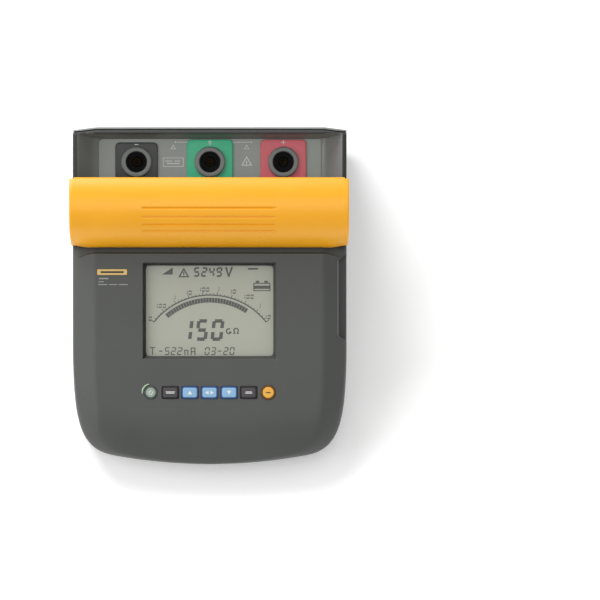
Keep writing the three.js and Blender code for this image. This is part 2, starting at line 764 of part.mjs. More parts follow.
// ---- Keys ----
const flangeTop = -wall - keyClearance;
const flangeBottom = flangeTop - keyFlange;
const keyBottom = flangeBottom - keyStem;
for (const key of keys) {
  const cap = solid(alongW(keyShape(key, 0), flangeBottom, keyProud, key.radius ? 8 : 2));
  const flange = key.radius
    ? circle(key.u, keyV, key.radius + roundFlangeReach)
    : rectangle(key.u, keyV, keyWidth + 2 * keyFlangeReach, keyHeight + 2 * keyFlangeReach);
  const stem = alongW(circle(key.u, keyV, keyStemRadius), keyBottom, -wall, 4);
  add(face, key.name, key.material, join(cap, alongW(flange, flangeBottom, flangeTop, 6), stem));
}
const matTop = keyBottom - keyTravel - gap;
const matBottom = matTop - matThickness;
const matWidth = keyPitch * (keys.length - 1) + 2 * matMargin;
add(face, "keypad_mat", softBlack, alongW(rectangle(0, keyV, matWidth, matHeight), matBottom, matTop));
add(face, "key_board", circuitGreen, alongW(
  rectangle(0, keyV, matWidth + 2 * keyBoardMargin, matHeight + 2 * keyBoardMargin),
  matBottom - gap - boardThickness, matBottom - gap,
));
add(face, "power_key_guard", paleGreen, alongW(guardShape(0), -guardFoot, guardTop, 8));

// ---- Trim ----
add(face, "badge_plate", badgeGold, alongW(
  rectangle(badgeU, badgeV, badgeWidth, badgeHeight),
  gap - badgeRecess, gap - badgeRecess + badgeThickness,
));
add(face, "ir_window", black, alongU(
  rectangle(portMiddle, -irDepth, irWidth, irHeight),
  halfWidth - portDepth - wall + gap, halfWidth - portDepth + gap,
));

// ---- Mains inlet ----
function mainsInlet() {
  const hollowFloor = inletSeat - inletHollowDepth;
  const pins = pinPlaces.map(([du, dw]) => (
    alongV(rectangle(inletU + du, dw - inletDepth, ...pinSize), hollowFloor - 1, hollowFloor + pinLength)
  ));
  const body = solid(alongV(inletShape(...inletBody), hollowFloor - inletFloor, inletSeat + 1, 4));
  const flange = alongV(
    inletShape(...inletFlange), inletSeat + gap, inletSeat + gap + inletFlangeThickness, 4,
  );
  const hollow = alongV(inletShape(...inletHollow), hollowFloor, faceLength, 4);
  return join(cut(join(body, flange), hollow), ...pins);
}
add(face, "mains_inlet", black, mainsInlet());

// ---- Inside the case ----
// A box centred on place.
function block([width, depth, height], [x, y], bottom) {
  return box(x - width / 2, x + width / 2, y - depth / 2, y + depth / 2, bottom, bottom + height);
}

function onBoard([x, y]) {
  return [x, boardEnd + y];
}

const boardBottom = floorZ + boardRise;
const boardTop = boardBottom + boardThickness;
add(tester, "main_board", circuitGreen, cut(
  solid(box(-boardWidth / 2, boardWidth / 2, boardStart, boardEnd, boardBottom, boardTop)),
  ...boardPlaces.map(([x, y]) => alongW(circle(x, y, boardScrewHole), 0, frontRise, 4)),
));
boardPlaces.forEach(([x, y], index) => {
  const piece = add(tester, `board_screw_${index + 1}`, steel, screw(...boardScrewSize));
  piece.position.set(x, y, boardTop + gap);
});

const partBottom = boardTop + gap;
add(tester, "hv_transformer", tapeYellow, join(
  solid(block(coilCore, onBoard(coilPlace), partBottom)), block(coilSize, onBoard(coilPlace), partBottom),
));
add(tester, "hv_module", black, block(moduleSize, onBoard(modulePlace), partBottom));
add(tester, "hv_capacitor", capacitorBlue, turned([
  [0, 0], [capacitorRadius - 1, 0], [capacitorRadius, 1], [capacitorRadius, capacitorHeight - 1],
  [capacitorRadius - 1, capacitorHeight], [0, capacitorHeight],
]).translate(...onBoard(capacitorPlace), partBottom));
add(tester, "beeper", black, turned([
  [0, 0], [beeperRadius, 0], [beeperRadius, beeperHeight], [beeperMouth[0], beeperHeight],
  [beeperMouth[0], beeperHeight - beeperMouth[1]], [0, beeperHeight - beeperMouth[1]],
], 16).translate(...onBoard(beeperPlace), partBottom));

const batteryPlace = [0, batteryStart + batteryDepth / 2];
add(tester, "battery", batteryGrey, block(batterySize, batteryPlace, batteryBottom));
const inner = batteryWidth / 2 + gap;
const outer = inner + strapThickness;
const foot = inner + strapFoot;
const [strapLow, strapHigh] = [batteryBottom, batteryTop + gap];
add(tester, "battery_bracket", steel, alongV(polygon([
  [-foot, strapLow], [-inner, strapLow], [-inner, strapHigh], [inner, strapHigh],
  [inner, strapLow], [foot, strapLow], [foot, strapLow + strapThickness],
  [outer, strapLow + strapThickness], [outer, strapHigh + strapThickness],
  [-outer, strapHigh + strapThickness], [-outer, strapLow + strapThickness],
  [-foot, strapLow + strapThickness],
]), batteryStart + strapInset, batteryStart + strapInset + strapWidth));

export default tester;
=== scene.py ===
"""Insulation resistance tester: finished surfaces and materials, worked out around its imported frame."""
import json
import math

import bmesh
import bpy
import numpy as np
from bpy.props import FloatProperty, FloatVectorProperty, PointerProperty
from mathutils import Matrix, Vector


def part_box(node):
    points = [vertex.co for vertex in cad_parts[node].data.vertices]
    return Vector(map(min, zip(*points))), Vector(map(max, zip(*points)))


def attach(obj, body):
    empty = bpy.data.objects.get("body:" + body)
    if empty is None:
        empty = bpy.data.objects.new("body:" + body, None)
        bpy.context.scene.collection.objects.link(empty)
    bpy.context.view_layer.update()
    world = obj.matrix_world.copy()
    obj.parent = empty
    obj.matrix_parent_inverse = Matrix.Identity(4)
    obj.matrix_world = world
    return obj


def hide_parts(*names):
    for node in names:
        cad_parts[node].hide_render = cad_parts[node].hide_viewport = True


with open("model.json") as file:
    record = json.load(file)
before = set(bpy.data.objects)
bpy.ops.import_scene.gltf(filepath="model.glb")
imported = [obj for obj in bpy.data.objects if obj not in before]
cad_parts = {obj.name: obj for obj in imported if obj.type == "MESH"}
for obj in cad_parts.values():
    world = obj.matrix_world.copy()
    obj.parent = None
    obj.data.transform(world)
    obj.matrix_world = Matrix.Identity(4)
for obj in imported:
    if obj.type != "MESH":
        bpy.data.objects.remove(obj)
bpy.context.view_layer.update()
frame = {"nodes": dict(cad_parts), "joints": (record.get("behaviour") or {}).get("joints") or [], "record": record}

bl_info = {
    "name": "Insulation Tester",
    "version": (1, 0, 0),
    "blender": (4, 5, 0),
    "location": "View3D > Sidebar > Tester",
    "description": "Builds an insulation resistance tester around its frame",
    "category": "Add Mesh",
}

MM = 1000.0  # millimetres in a metre
CASE = "case"
PRESS = frame["joints"][0]["axis"]
TILT = math.atan2(PRESS[1], -PRESS[2])
SIN, COS = math.sin(TILT), math.cos(TILT)


# ---- The face frame: u = X, v up the face, w out of it, in millimetres ----
def node_points(node):
    """All corners of a node's mesh as an array, in millimetres."""
    mesh = frame["nodes"][node].data
    flat = np.zeros(len(mesh.vertices) * 3, np.float32)
    mesh.vertices.foreach_get("co", flat)
    return flat.reshape(-1, 3).astype(float) * MM


def turned_to_face(points):
    """Turns case points about X by the tilt, so that Y runs up the face and Z out of it."""
    x, y, z = points.T
    return np.stack([x, y * COS + z * SIN, z * COS - y * SIN], -1)


COVER_POINTS = turned_to_face(node_points("front_housing"))
FACE_ORIGIN = np.array([0.0, COVER_POINTS[:, 1].min(), COVER_POINTS[:, 2].max()])


def face_box(node):
    """Lowest and highest u, v and w of a node, in millimetres."""
    points = turned_to_face(node_points(node)) - FACE_ORIGIN
    return points.min(0), points.max(0)


def face_plan(node):
    """A node seen square to the face: its middle and size in u and v, and its lowest and highest w."""
    low, high = face_box(node)
    return (low + high)[:2] / 2, (high - low)[:2], low[2], high[2]


def case_box(node):
    """Lowest and highest corner of a node in the case's own axes, in millimetres."""
    return [np.array(corner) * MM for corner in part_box(node)]


def to_case(u, v, w):
    """Face coordinates in millimetres to case points in metres: a shift, then a turn about X."""
    u, v, w = np.broadcast_arrays(u, v, w)
    v = v + FACE_ORIGIN[1]
    w = w + FACE_ORIGIN[2]
    return np.stack([u, v * COS - w * SIN, v * SIN + w * COS], -1) / MM


# ---- Colours and sizes that a user would change ----
def linear(code):
    """A hex sRGB colour as linear red, green and blue."""
    parts = [int(code[i:i + 2], 16) / 255 for i in (1, 3, 5)]
    return tuple(c / 12.92 if c <= 0.04045 else ((c + 0.055) / 1.055) ** 2.4 for c in parts)


def colour(name, code, description):
    """A colour property with a hex default."""
    return FloatVectorProperty(
        name=name, description=description, subtype="COLOR", size=3, min=0, max=1, default=linear(code)
    )


def length(name, millimetres, description):
    """A length property with a default in millimetres."""
    return FloatProperty(name=name, description=description, unit="LENGTH", default=millimetres / MM)


class TesterColours(bpy.types.PropertyGroup):
    """Colours of the tester's mouldings and display."""

    case: colour("Case", "#4d4f4d", "Front and rear housing")
    # The panel's colour is partly its own and partly lightened as painted light in the deep well.
    panel: colour("Terminal panel", "#a6ada7", "Plate that carries the sockets")
    handle: colour("Handle", "#fcb010", "Carry handle")
    display: colour("Display", "#abad9e", "Reflective display behind its window")
    segment: colour("Segments", "#26271f", "Dark marks of the display")
    surround_black: colour("Black surround", "#373738", "Surround of the left socket")
    # The green and red surrounds are likewise lightened in part as painted light in the well.
    surround_green: colour("Green surround", "#34cc96", "Surround of the middle socket")
    surround_red: colour("Red surround", "#e86874", "Surround of the right socket")
    key_blue: colour("Blue keys", "#8db6d8", "Arrow keys")
    key_dark: colour("Dark keys", "#4a464a", "Function and information keys")
    key_pale: colour("Power key", "#96a498", "Power key")
    key_yellow: colour("Test key", "#ecb04a", "Test key")
    badge: colour("Plate", "#d8b468", "Name plate, left blank")


class TesterSizes(bpy.types.PropertyGroup):
    """Radii and depths that finish the mouldings."""

    nose_run: length("Nose run", 44, "How far up the face its rolled end reaches")
    nose_drop: length("Nose drop", 10, "How far the rolled end falls below the face")
    bevel_width: length("Bevel width", 19, "Sloping strip along each side of the face")
    bevel_drop: length("Bevel drop", 12, "Fall of that strip")
    edge_radius: length("Edge radius", 2.2, "Round along the edge of the face")
    crease_radius: length("Crease radius", 3.0, "Half width of the round at the bevel's crease")
    wall: length("Wall", 2.6, "Thickness of the mouldings")
    base_radius: length("Base radius", 4.0, "Round along the bottom edge")
    groove_depth: length("Grip line depth", 1.2, "Depth of the four lines on the handle")


# ---- Surfaces ----
def mesh_object(name, points, faces, material, sharp=30, merge=False):
    """Puts points and faces into a new object, marks edges sharper than an angle, and gives it one
    material."""
    mesh = bpy.data.meshes.new(name)
    mesh.from_pydata(points.reshape(-1, 3), [], faces)
    if merge:
        form = bmesh.new()
        form.from_mesh(mesh)
        bmesh.ops.remove_doubles(form, verts=form.verts, dist=2e-6)
        bmesh.ops.recalc_face_normals(form, faces=form.faces)
        form.to_mesh(mesh)
        form.free()
    mesh.polygons.foreach_set("use_smooth", np.ones(len(mesh.polygons), bool))
    mesh.set_sharp_from_angle(angle=math.radians(sharp))
    mesh.materials.append(material)
    mesh.update()
    piece = bpy.data.objects.new(name, mesh)
    bpy.context.scene.collection.objects.link(piece)
    return piece


def point_outwards(piece):
    """Flips a shell whose faces, weighed by area, look towards its middle."""
    mesh = piece.data
    count = len(mesh.polygons)
    centre, normal, area = np.zeros(count * 3), np.zeros(count * 3), np.zeros(count)
    mesh.polygons.foreach_get("center", centre)
    mesh.polygons.foreach_get("normal", normal)
    mesh.polygons.foreach_get("area", area)
    centre, normal = centre.reshape(-1, 3), normal.reshape(-1, 3)
    if (((centre - centre.mean(0)) * normal).sum(1) * area).sum() < 0:
        mesh.flip_normals()


def finish_piece(piece, body=CASE, nodes=()):
    """Makes a piece ride on a body and hides the nodes that it stands for."""
    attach(piece, body)
    if nodes:
        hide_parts(*nodes)
    return piece


def grid_solid(name, top, bottom, keep, material, sharp=30):
    """Closed solid between two grids of points with the same rows and columns. keep says which
    cells exist. Each cell gives a face on both grids, and a wall closes every edge that only one
    kept cell has."""
    rows, cols = top.shape[:2]
    index = np.arange(rows * cols).reshape(rows, cols)
    corners = (index[:-1, :-1], index[:-1, 1:], index[1:, 1:], index[1:, :-1])
    cells = np.stack(corners, -1)[keep]
    edges = np.concatenate([cells[:, [k, (k + 1) % 4]] for k in range(4)])
    count = rows * cols
    forward = edges[:, 0] * count + edges[:, 1]
    backward = edges[:, 1] * count + edges[:, 0]
    border = edges[~np.isin(forward, backward)]
    walls = np.stack([border[:, 1], border[:, 0], border[:, 0] + count, border[:, 1] + count], -1)
    faces = np.concatenate([cells, cells[:, ::-1] + count, walls])
    used, faces = np.unique(faces, return_inverse=True)
    points = np.concatenate([top.reshape(-1, 3), bottom.reshape(-1, 3)])[used]
    return mesh_object(name, points, faces.reshape(-1, 4).tolist(), material, sharp)


def paint(piece, name, values):
    """Stores one number at each point of a piece, for its finish to read."""
    layer = piece.data.attributes.new(name, "FLOAT", "POINT")
    layer.data.foreach_set("value", values.astype(np.float32))


def face_points(piece):
    """A piece's points in the face's own axes u, v and w, in millimetres."""
    flat = np.zeros(len(piece.data.vertices) * 3, np.float32)
    piece.data.vertices.foreach_get("co", flat)
    return turned_to_face(flat.reshape(-1, 3).astype(float) * MM) - FACE_ORIGIN


def ring_faces(rings, count):
    """Quads between rings of count points each, closed round each ring."""
    index = np.arange(rings * count).reshape(rings, count)
    turned = np.roll(index, -1, axis=1)
    return np.stack([index[:-1], turned[:-1], turned[1:], index[1:]], -1).reshape(-1, 4).tolist()


def ring_solid(name, rings, material, sharp=30):
    """Closed skin over an array of rings, each a closed loop of points, with a flat face on each end."""
    count = rings.shape[1]
    last = (len(rings) - 1) * count
    faces = ring_faces(len(rings), count)
    faces += [list(range(count))[::-1], list(range(last, last + count))]
    return mesh_object(name, rings, faces, material, sharp, merge=True)


def join_objects(name, pieces):
    """Joins the meshes of several objects into the first and renames it."""
    form = bmesh.new()
    for piece in pieces:
        form.from_mesh(piece.data)
    form.to_mesh(pieces[0].data)
    form.free()
    pieces[0].data.update()
    for piece in pieces[1:]:
        bpy.data.objects.remove(piece)
    pieces[0].name = name
    pieces[0].data.name = name
    return pieces[0]


def rounded_loop(u, v, width, height, radius, per_corner=8):
    """Points round a rectangle with round corners: four quarter circles, joined by its sides."""
    angles = np.linspace(0, math.pi / 2, per_corner)
    turns = np.arange(4)[:, None] * math.pi / 2
    signs = np.array([[1, 1], [-1, 1], [-1, -1], [1, -1]])
    reach = np.array([width / 2 - radius, height / 2 - radius])
    x = u + signs[:, :1] * reach[0] + radius * np.cos(turns + angles)
    y = v + signs[:, 1:] * reach[1] + radius * np.sin(turns + angles)
    return x.reshape(-1), y.reshape(-1)


def slab(name, u, v, width, height, radius, low, high, edge, material, dome=0.0):
    """Plate with a rounded outline: rings climb its side, turn over its edge as a quarter circle and
    rise towards the middle as a shallow dome."""
    turn = np.linspace(0, math.pi / 2, 6)
    insets = np.concatenate([[0.0], edge * (1 - np.cos(turn))])
    heights = np.concatenate([[low], high - edge + edge * np.sin(turn)])
    reach = min(width, height) / 2
    fractions = np.linspace(0, 1, 6)[1:]
    insets = np.concatenate([insets, edge + (reach - edge - 0.02) * fractions])
    heights = np.concatenate([heights, high + dome * (1 - (1 - fractions) ** 2)])
    loops = [
        rounded_loop(u, v, width - 2 * s, height - 2 * s, max(radius - s, 0.01 + 0.4 * (reach - s)))
        for s in insets
    ]
    rings = np.stack([to_case(x, y, w) for (x, y), w in zip(loops, heights)])
    return ring_solid(name, rings, material, 35)


def holed_slab(name, u, v, width, height, radius, hole, low, high, edge, material):
    """Rounded plate with a round hole at (hole u, hole v, hole radius): rings climb the outside, turn
    over its edge as a quarter circle, run in to the hole along straight lines and go down it."""
    turn = np.linspace(0, math.pi / 2, 6)
    insets = np.concatenate([[0.0], edge * (1 - np.cos(turn))])
    heights = np.concatenate([[low], high - edge + edge * np.sin(turn)])
    loops = [rounded_loop(u, v, width - 2 * s, height - 2 * s, radius - s, 16) for s in insets]
    x, y = loops[-1]
    angle = np.arctan2(y - hole[1], x - hole[0])
    cx, cy = hole[0] + hole[2] * np.cos(angle), hole[1] + hole[2] * np.sin(angle)
    rings = [to_case(a, b, w) for (a, b), w in zip(loops, heights)]
    rings += [to_case(x + (cx - x) * t, y + (cy - y) * t, high) for t in (0.35, 0.7, 0.97)]
    rings += [to_case(cx, cy, high - 0.3), to_case(cx, cy, low), rings[0]]
    rings = np.stack(rings)
    faces = ring_faces(len(rings), rings.shape[1])
    return mesh_object(name, rings, faces, material, 35, merge=True)


def lathe(name, profile, place, material, segments=48):
    """Turned skin: each profile point (radius, height) makes a circle about the axis, and place puts
    the circle's two sideways axes and its height into the case."""
    radius, height = np.array(profile, float).T[:, :, None]
    angle = np.linspace(0, 2 * math.pi, segments, endpoint=False)
    radius = np.maximum(radius, 1e-4)
    rings = place(radius * np.cos(angle), radius * np.sin(angle), height + 0 * angle)
    return ring_solid(name, rings, material, 35)


def on_face(u, v, w=0.0):
    """A place function for a turned piece that stands out of the face at (u, v)."""
    return lambda a, b, h: to_case(u + a, v + b, w + h)


def on_base(x, y):
    """A place function for a turned piece that stands up from the floor at (x, y)."""
    return lambda a, b, h: np.stack([x + a, y + b, h], -1) / MM


def plates(name, polygons, low, high, material):
    """Thin printed marks: each polygon in (u, v) becomes a closed flat prism between two heights."""
    points, faces, start = [], [], 0
    for outline in polygons:
        x, y = np.array(outline, float).T
        if np.sum(x * np.roll(y, -1) - y * np.roll(x, -1)) < 0:
            x, y = x[::-1], y[::-1]
        count = len(x)
        points += [to_case(x, y, low), to_case(x, y, high)]
        under = list(range(start, start + count))
        over = list(range(start + count, start + 2 * count))
        faces += [under[::-1], over]
        faces += [
            [under[k], under[(k + 1) % count], over[(k + 1) % count], over[k]] for k in range(count)
        ]
        start += 2 * count
    return mesh_object(name, np.concatenate(points), faces, material)


def smooth(x):
    """Cubic step from 0 at 0 to 1 at 1, level at both ends."""
    x = np.clip(x, 0, 1)
    return x * x * (3 - 2 * x)


def lines(stops, step):
    """Sorted grid lines through every stop, with no gap wider than step."""
    stops = np.unique(np.round(np.array(stops, float), 3))
    stops = stops[np.concatenate([[True], np.diff(stops) > 0.04])]
    pieces = [
        np.linspace(a, b, max(int(math.ceil((b - a) / step)), 1), endpoint=False)
        for a, b in zip(stops[:-1], stops[1:])
    ]
    return np.concatenate(pieces + [stops[-1:]])


# ---- Materials ----
def add_node(tree, kind, values=None, links=None, **settings):
    """Adds one node with its settings, its socket values and its links, and returns it."""
    made = tree.nodes.new(kind)
    for key, value in settings.items():
        setattr(made, key, value)
    for key, value in (values or {}).items():
        made.inputs[key].default_value = value
    for key, source in (links or {}).items():
        tree.links.new(source, made.inputs[key])
    return made


def new_material(name, tint, roughness, **values):
    """A material with one Principled shader, and its tree, shader and Object coordinates."""
    material = bpy.data.materials.new(name)
    material.use_nodes = True
    tree = material.node_tree
    shader = tree.nodes["Principled BSDF"]
    shader.inputs["Base Color"].default_value = (*tint, 1)
    shader.inputs["Roughness"].default_value = roughness
    for key, value in values.items():
        shader.inputs[key.replace("_", " ")].default_value = value
    place = tree.nodes.new("ShaderNodeTexCoord").outputs["Object"]
    return material, tree, shader, place


def grain(tree, place, size, detail=3.0, roughness=0.55):
    """Noise whose lumps are about size millimetres wide."""
    return add_node(
        tree, "ShaderNodeTexNoise",
        {"Scale": MM / size, "Detail": detail, "Roughness": roughness}, {"Vector": place},
    ).outputs["Fac"]


def vary_colour(tree, shader, factor, tint, spread):
    """Lets a pattern move the colour a little darker and lighter round its tint."""
    ramp = add_node(tree, "ShaderNodeValToRGB", links={"Fac": factor})
    ramp.color_ramp.elements[0].position = 0.3
    ramp.color_ramp.elements[1].position = 0.7
    ramp.color_ramp.elements[0].color = (*[c * (1 - spread) for c in tint], 1)
    ramp.color_ramp.elements[1].color = (*[min(c * (1 + spread), 1) for c in tint], 1)
    tree.links.new(ramp.outputs["Color"], shader.inputs["Base Color"])


def vary_roughness(tree, shader, factor, low, high):
    """Lets a pattern move the roughness between two values."""
    ranged = add_node(
        tree, "ShaderNodeMapRange",
        {"From Min": 0.3, "From Max": 0.7, "To Min": low, "To Max": high}, {"Value": factor},
    )
    tree.links.new(ranged.outputs["Result"], shader.inputs["Roughness"])


def bump(tree, shader, height, depth, strength):
    """Bump from a pattern, depth in millimetres."""
    made = add_node(
        tree, "ShaderNodeBump", {"Distance": depth / MM, "Strength": strength}, {"Height": height},
    )
    tree.links.new(made.outputs["Normal"], shader.inputs["Normal"])


def layered(name, tint, rough, slow, spread, change, fine=None, relief=None, **values):
    """A finish in two scales: a slow pattern (size, detail) moves the colour by a share and the
    roughness by two steps, and a fine one gives relief (depth, strength)."""
    material, tree, shader, place = new_material(name, tint, rough, **values)
    pattern = grain(tree, place, *slow)
    vary_colour(tree, shader, pattern, tint, spread)
    vary_roughness(tree, shader, pattern, rough - change[0], rough + change[1])
    if fine:
        bump(tree, shader, grain(tree, place, *fine), *relief)
    return material


def textured_abs(name, tint, rough=0.5):
    """Injection-moulded ABS with a spark-eroded texture: a fine even grain that breaks up gloss.
    The real grain is 0.15 mm and is drawn at 0.8 mm, so that it shows."""
    return layered(
        name, tint, rough, (45.0, 4.0), 0.045, (0.05, 0.06), (0.8,), (0.05, 0.35),
        IOR=1.52, Specular_IOR_Level=0.45,
    )


def abs_with_painted_light(name, tint, rough=0.5):
    """The same textured ABS, whose colour is multiplied by a painted light and shade attribute, paler where light
    is painted and darker where shade is painted, and which is polished where the gloss attribute is 1, as a tool's
    polished areas leave it."""
    material, tree, shader, place = new_material(name, tint, rough, IOR=1.52, Specular_IOR_Level=0.45)
    fine = grain(tree, place, 0.8)
    cloudy = grain(tree, place, 45.0, 4.0)
    vary_colour(tree, shader, cloudy, tint, 0.045)
    colour_out = shader.inputs["Base Color"].links[0].from_socket
    # The painted light and shade attribute scales the colour: above 1 it paints light, below 1 it paints shade.
    painted_light_shade = add_node(tree, "ShaderNodeAttribute", attribute_name="painted_light_shade").outputs["Fac"]
    deep = add_node(
        tree, "ShaderNodeVectorMath", links={0: colour_out, "Scale": painted_light_shade}, operation="SCALE"
    )
    tree.links.new(deep.outputs["Vector"], shader.inputs["Base Color"])
    gloss = add_node(tree, "ShaderNodeAttribute", attribute_name="gloss").outputs["Fac"]
    polished = add_node(
        tree, "ShaderNodeMapRange", {"To Min": rough, "To Max": 0.24}, {"Value": gloss},
    )
    tree.links.new(polished.outputs["Result"], shader.inputs["Roughness"])
    bump(tree, shader, fine, 0.05, 0.35)
    return material


def smooth_abs(name, tint, rough=0.34):
    """Moulded ABS from a polished tool: satin gloss with a faint orange peel a few millimetres wide."""
    return layered(
        name, tint, rough, (30.0, 5.0), 0.025, (0.04, 0.08), (5.0, 2.0), (0.08, 0.12),
        IOR=1.52, Coat_Weight=0.15, Coat_Roughness=0.25,
    )


def silicone(name, tint, rough=0.6):
    """Moulded silicone or soft rubber: matt, with a fine powdery grain and a soft sheen."""
    return layered(
        name, tint, rough, (12.0, 4.0), 0.05, (0.05, 0.1), (0.6,), (0.04, 0.3),
        IOR=1.43, Sheen_Weight=0.12,
    )


def plated_metal(name, tint, rough, streak=4.0):
    """Zinc-plated or turned metal: bright, with faint cloudy streaks left by plating and tools."""
    return layered(
        name, tint, rough, (streak, 5.0), 0.12, (0.08, 0.12), (0.5,), (0.02, 0.25), Metallic=1.0
    )


def circuit_laminate(name):
    """Glass-fibre laminate under green solder mask: the weave shows as a fine grid, 0.8 mm a thread."""
    tint = linear("#1f5a38")
    material, tree, shader, place = new_material(name, tint, 0.35, IOR=1.5)
    weave = add_node(
        tree, "ShaderNodeTexWave", {"Scale": MM / 0.8 / 20, "Distortion": 0.4}, {"Vector": place},
    ).outputs["Fac"]
    vary_colour(tree, shader, weave, tint, 0.12)
    vary_roughness(tree, shader, grain(tree, place, 8.0), 0.28, 0.42)
    bump(tree, shader, weave, 0.02, 0.2)
    return material


def liquid_crystal(name, tint):
    """Reflective liquid-crystal glass under a polariser: an even grey-green with a pearly grain of
    about a millimetre, a little deeper in places."""
    material, tree, shader, place = new_material(name, tint, 0.42, IOR=1.5, Specular_IOR_Level=0.3)
    vary_colour(tree, shader, grain(tree, place, 70.0, 1.0), tint, 0.02)
    vary_roughness(tree, shader, grain(tree, place, 0.9, 2.0), 0.36, 0.48)
    return material


def clear_window(name):
    """Hard-coated polycarbonate: almost invisible, with a soft gloss and a few fine wipe marks."""
    material, tree, shader, place = new_material(
        name, (0.9, 0.92, 0.9), 0.12, IOR=1.45, Alpha=0.05, Specular_IOR_Level=0.3,
    )
    vary_roughness(tree, shader, grain(tree, place, 25.0, 6.0), 0.08, 0.18)
    return material


def printing(name, tint, rough=0.55):
    """Screen-printed ink: flat colour with slightly uneven coverage over about a millimetre."""
    return layered(name, tint, rough, (0.9, 2.0), 0.06, (0.05, 0.05), IOR=1.5)


def woven_tape(name, tint):
    """Polyester winding tape: glossy film with overlapping turns about 6 mm wide."""
    material, tree, shader, place = new_material(name, tint, 0.35, IOR=1.57)
    turns = add_node(
        tree, "ShaderNodeTexWave", {"Scale": MM / 6 / 20, "Distortion": 0.8}, {"Vector": place},
        bands_direction="Z",
    ).outputs["Fac"]
    vary_colour(tree, shader, turns, tint, 0.12)
    vary_roughness(tree, shader, grain(tree, place, 10.0), 0.3, 0.45)
    bump(tree, shader, turns, 0.1, 0.4)
    return material


MATERIALS = {}


def make_materials():
    """Makes every finish once, by the record's slot name."""
    c = bpy.context.scene.tester_colours
    MATERIALS.update({
        "case_grey": textured_abs("Textured ABS, dark grey", c.case),
        # The cover and the rear shell use this finish, with painted light and shade.
        "cover_grey": abs_with_painted_light("Textured and polished ABS, dark grey", c.case),
        # Near black, darker than the black mouldings: partly the sleeves' own black, partly painted shade deep in
        # the bores.
        "deep_black": textured_abs("Textured ABS, near black with painted bore shade", linear("#060607"), 0.6),
        "handle_yellow": smooth_abs("Satin ABS, yellow", c.handle, 0.36),
        "grip_rubber": silicone("Moulded elastomer, black", linear("#2b2b2c"), 0.75),
        "foot_rubber": silicone("Foot rubber, black", linear("#222223"), 0.8),
        "panel_grey": textured_abs("Textured ABS, green grey", c.panel, 0.45),
        "ring_grey": smooth_abs("Satin ABS, ring grey", linear("#777b79"), 0.38),
        "surround_black": smooth_abs("Satin ABS, black", c.surround_black, 0.42),
        "surround_green": smooth_abs("Satin ABS, green", c.surround_green, 0.42),
        "surround_red": smooth_abs("Satin ABS, red", c.surround_red, 0.42),
        # Brass darkened as painted shade, for the contact deep in its bore.
        "contact_brass": plated_metal("Brass darkened with painted bore shade", linear("#2c2417"), 0.5),
        "screw_steel": plated_metal("Zinc-plated steel", linear("#b4b6b9"), 0.34),
        "zinc_steel": plated_metal("Galvanised sheet", linear("#a3a6a8"), 0.42, 9.0),
        "window_clear": clear_window("Hard-coated polycarbonate"),
        "lcd_glass": liquid_crystal("Liquid-crystal glass", c.display),
        "segments": printing("Display segments", c.segment, 0.5),
        "faint_segments": printing("Display segments, faint", linear("#4b4d41"), 0.5),
        "light_guide": smooth_abs("Milky acrylic", linear("#e6e6df"), 0.4),
        "inner_black": textured_abs("Textured ABS, black", linear("#262627"), 0.55),
        "ir_filter": smooth_abs("Infrared filter", linear("#1c1416"), 0.12),
        "circuit_green": circuit_laminate("Solder mask on laminate"),
        "key_dark": silicone("Silicone, dark grey", c.key_dark),
        "key_blue": silicone("Silicone, light blue", c.key_blue),
        "key_pale": silicone("Silicone, pale green", c.key_pale),
        "key_yellow": silicone("Silicone, amber", c.key_yellow),
        # Darker copies of the key colours: painted shade in the gap round each cap.
        "skirt_key_dark": silicone("Silicone skirt, dark grey in painted shade", linear("#1c1a1e")),
        "skirt_key_blue": silicone("Silicone skirt, blue in painted shade", linear("#2c5088")),
        "skirt_key_pale": silicone("Silicone skirt, grey green in painted shade", linear("#49544b")),
        "skirt_key_yellow": silicone("Silicone skirt, amber in painted shade", linear("#6e4412")),
        "ink_faint": printing("Faded grey ink", linear("#999c98")),
        "ink_grey": printing("Grey ink", linear("#ececea")),
        # Pale green arc by the power key: painted highlight on its raised ring.
        "guard_green": smooth_abs("Pale green arc, painted highlight", linear("#a8c0a6"), 0.35),
        "badge_gold": smooth_abs("Printed plate, gold", c.badge, 0.3),
        "battery_case": textured_abs("Textured ABS, battery grey", linear("#55585e"), 0.6),
        "winding_tape": woven_tape("Polyester winding tape", linear("#d8b545")),
        "capacitor_sleeve": smooth_abs("Shrink sleeve, blue", linear("#2c4f8c"), 0.3),
        "ink_white": printing("White ink", linear("#e4e6e2")),
        "ink_dark": printing("Dark ink", linear("#2c2a28")),
    })


def finish_cad_nodes():
    """Gives every CAD node the finish of its slot in the record."""
    for part in frame["record"]["subparts"]:
        target = frame["nodes"][part["node"]]
        target.data.materials.clear()
        target.data.materials.append(MATERIALS[part["material_slot"]])


# ---- Case outline ----
HALF = COVER_POINTS[:, 0].max()
FRONT_TOP = face_box("front_housing")[1][1]
REAR_TOP = face_box("rear_housing")[1][1]
REAR_RIM = face_box("rear_housing")[1][2]
SEAL = face_box("housing_seal")
PARTING = SEAL[1][2] + 0.3
# The near corner: its start from the side, its start and end in v, and its two Bezier handles as
# (distance from the side, v).
CORNER = dict(reach=36.0, sag=7.5, rise=92.0, first=(6.7, 12.5), second=(1.2, 35.0))
FAR_BEVEL, FAR_DROP = 19.0, 2.4  # the far edge slopes off by the drop over this width at each side


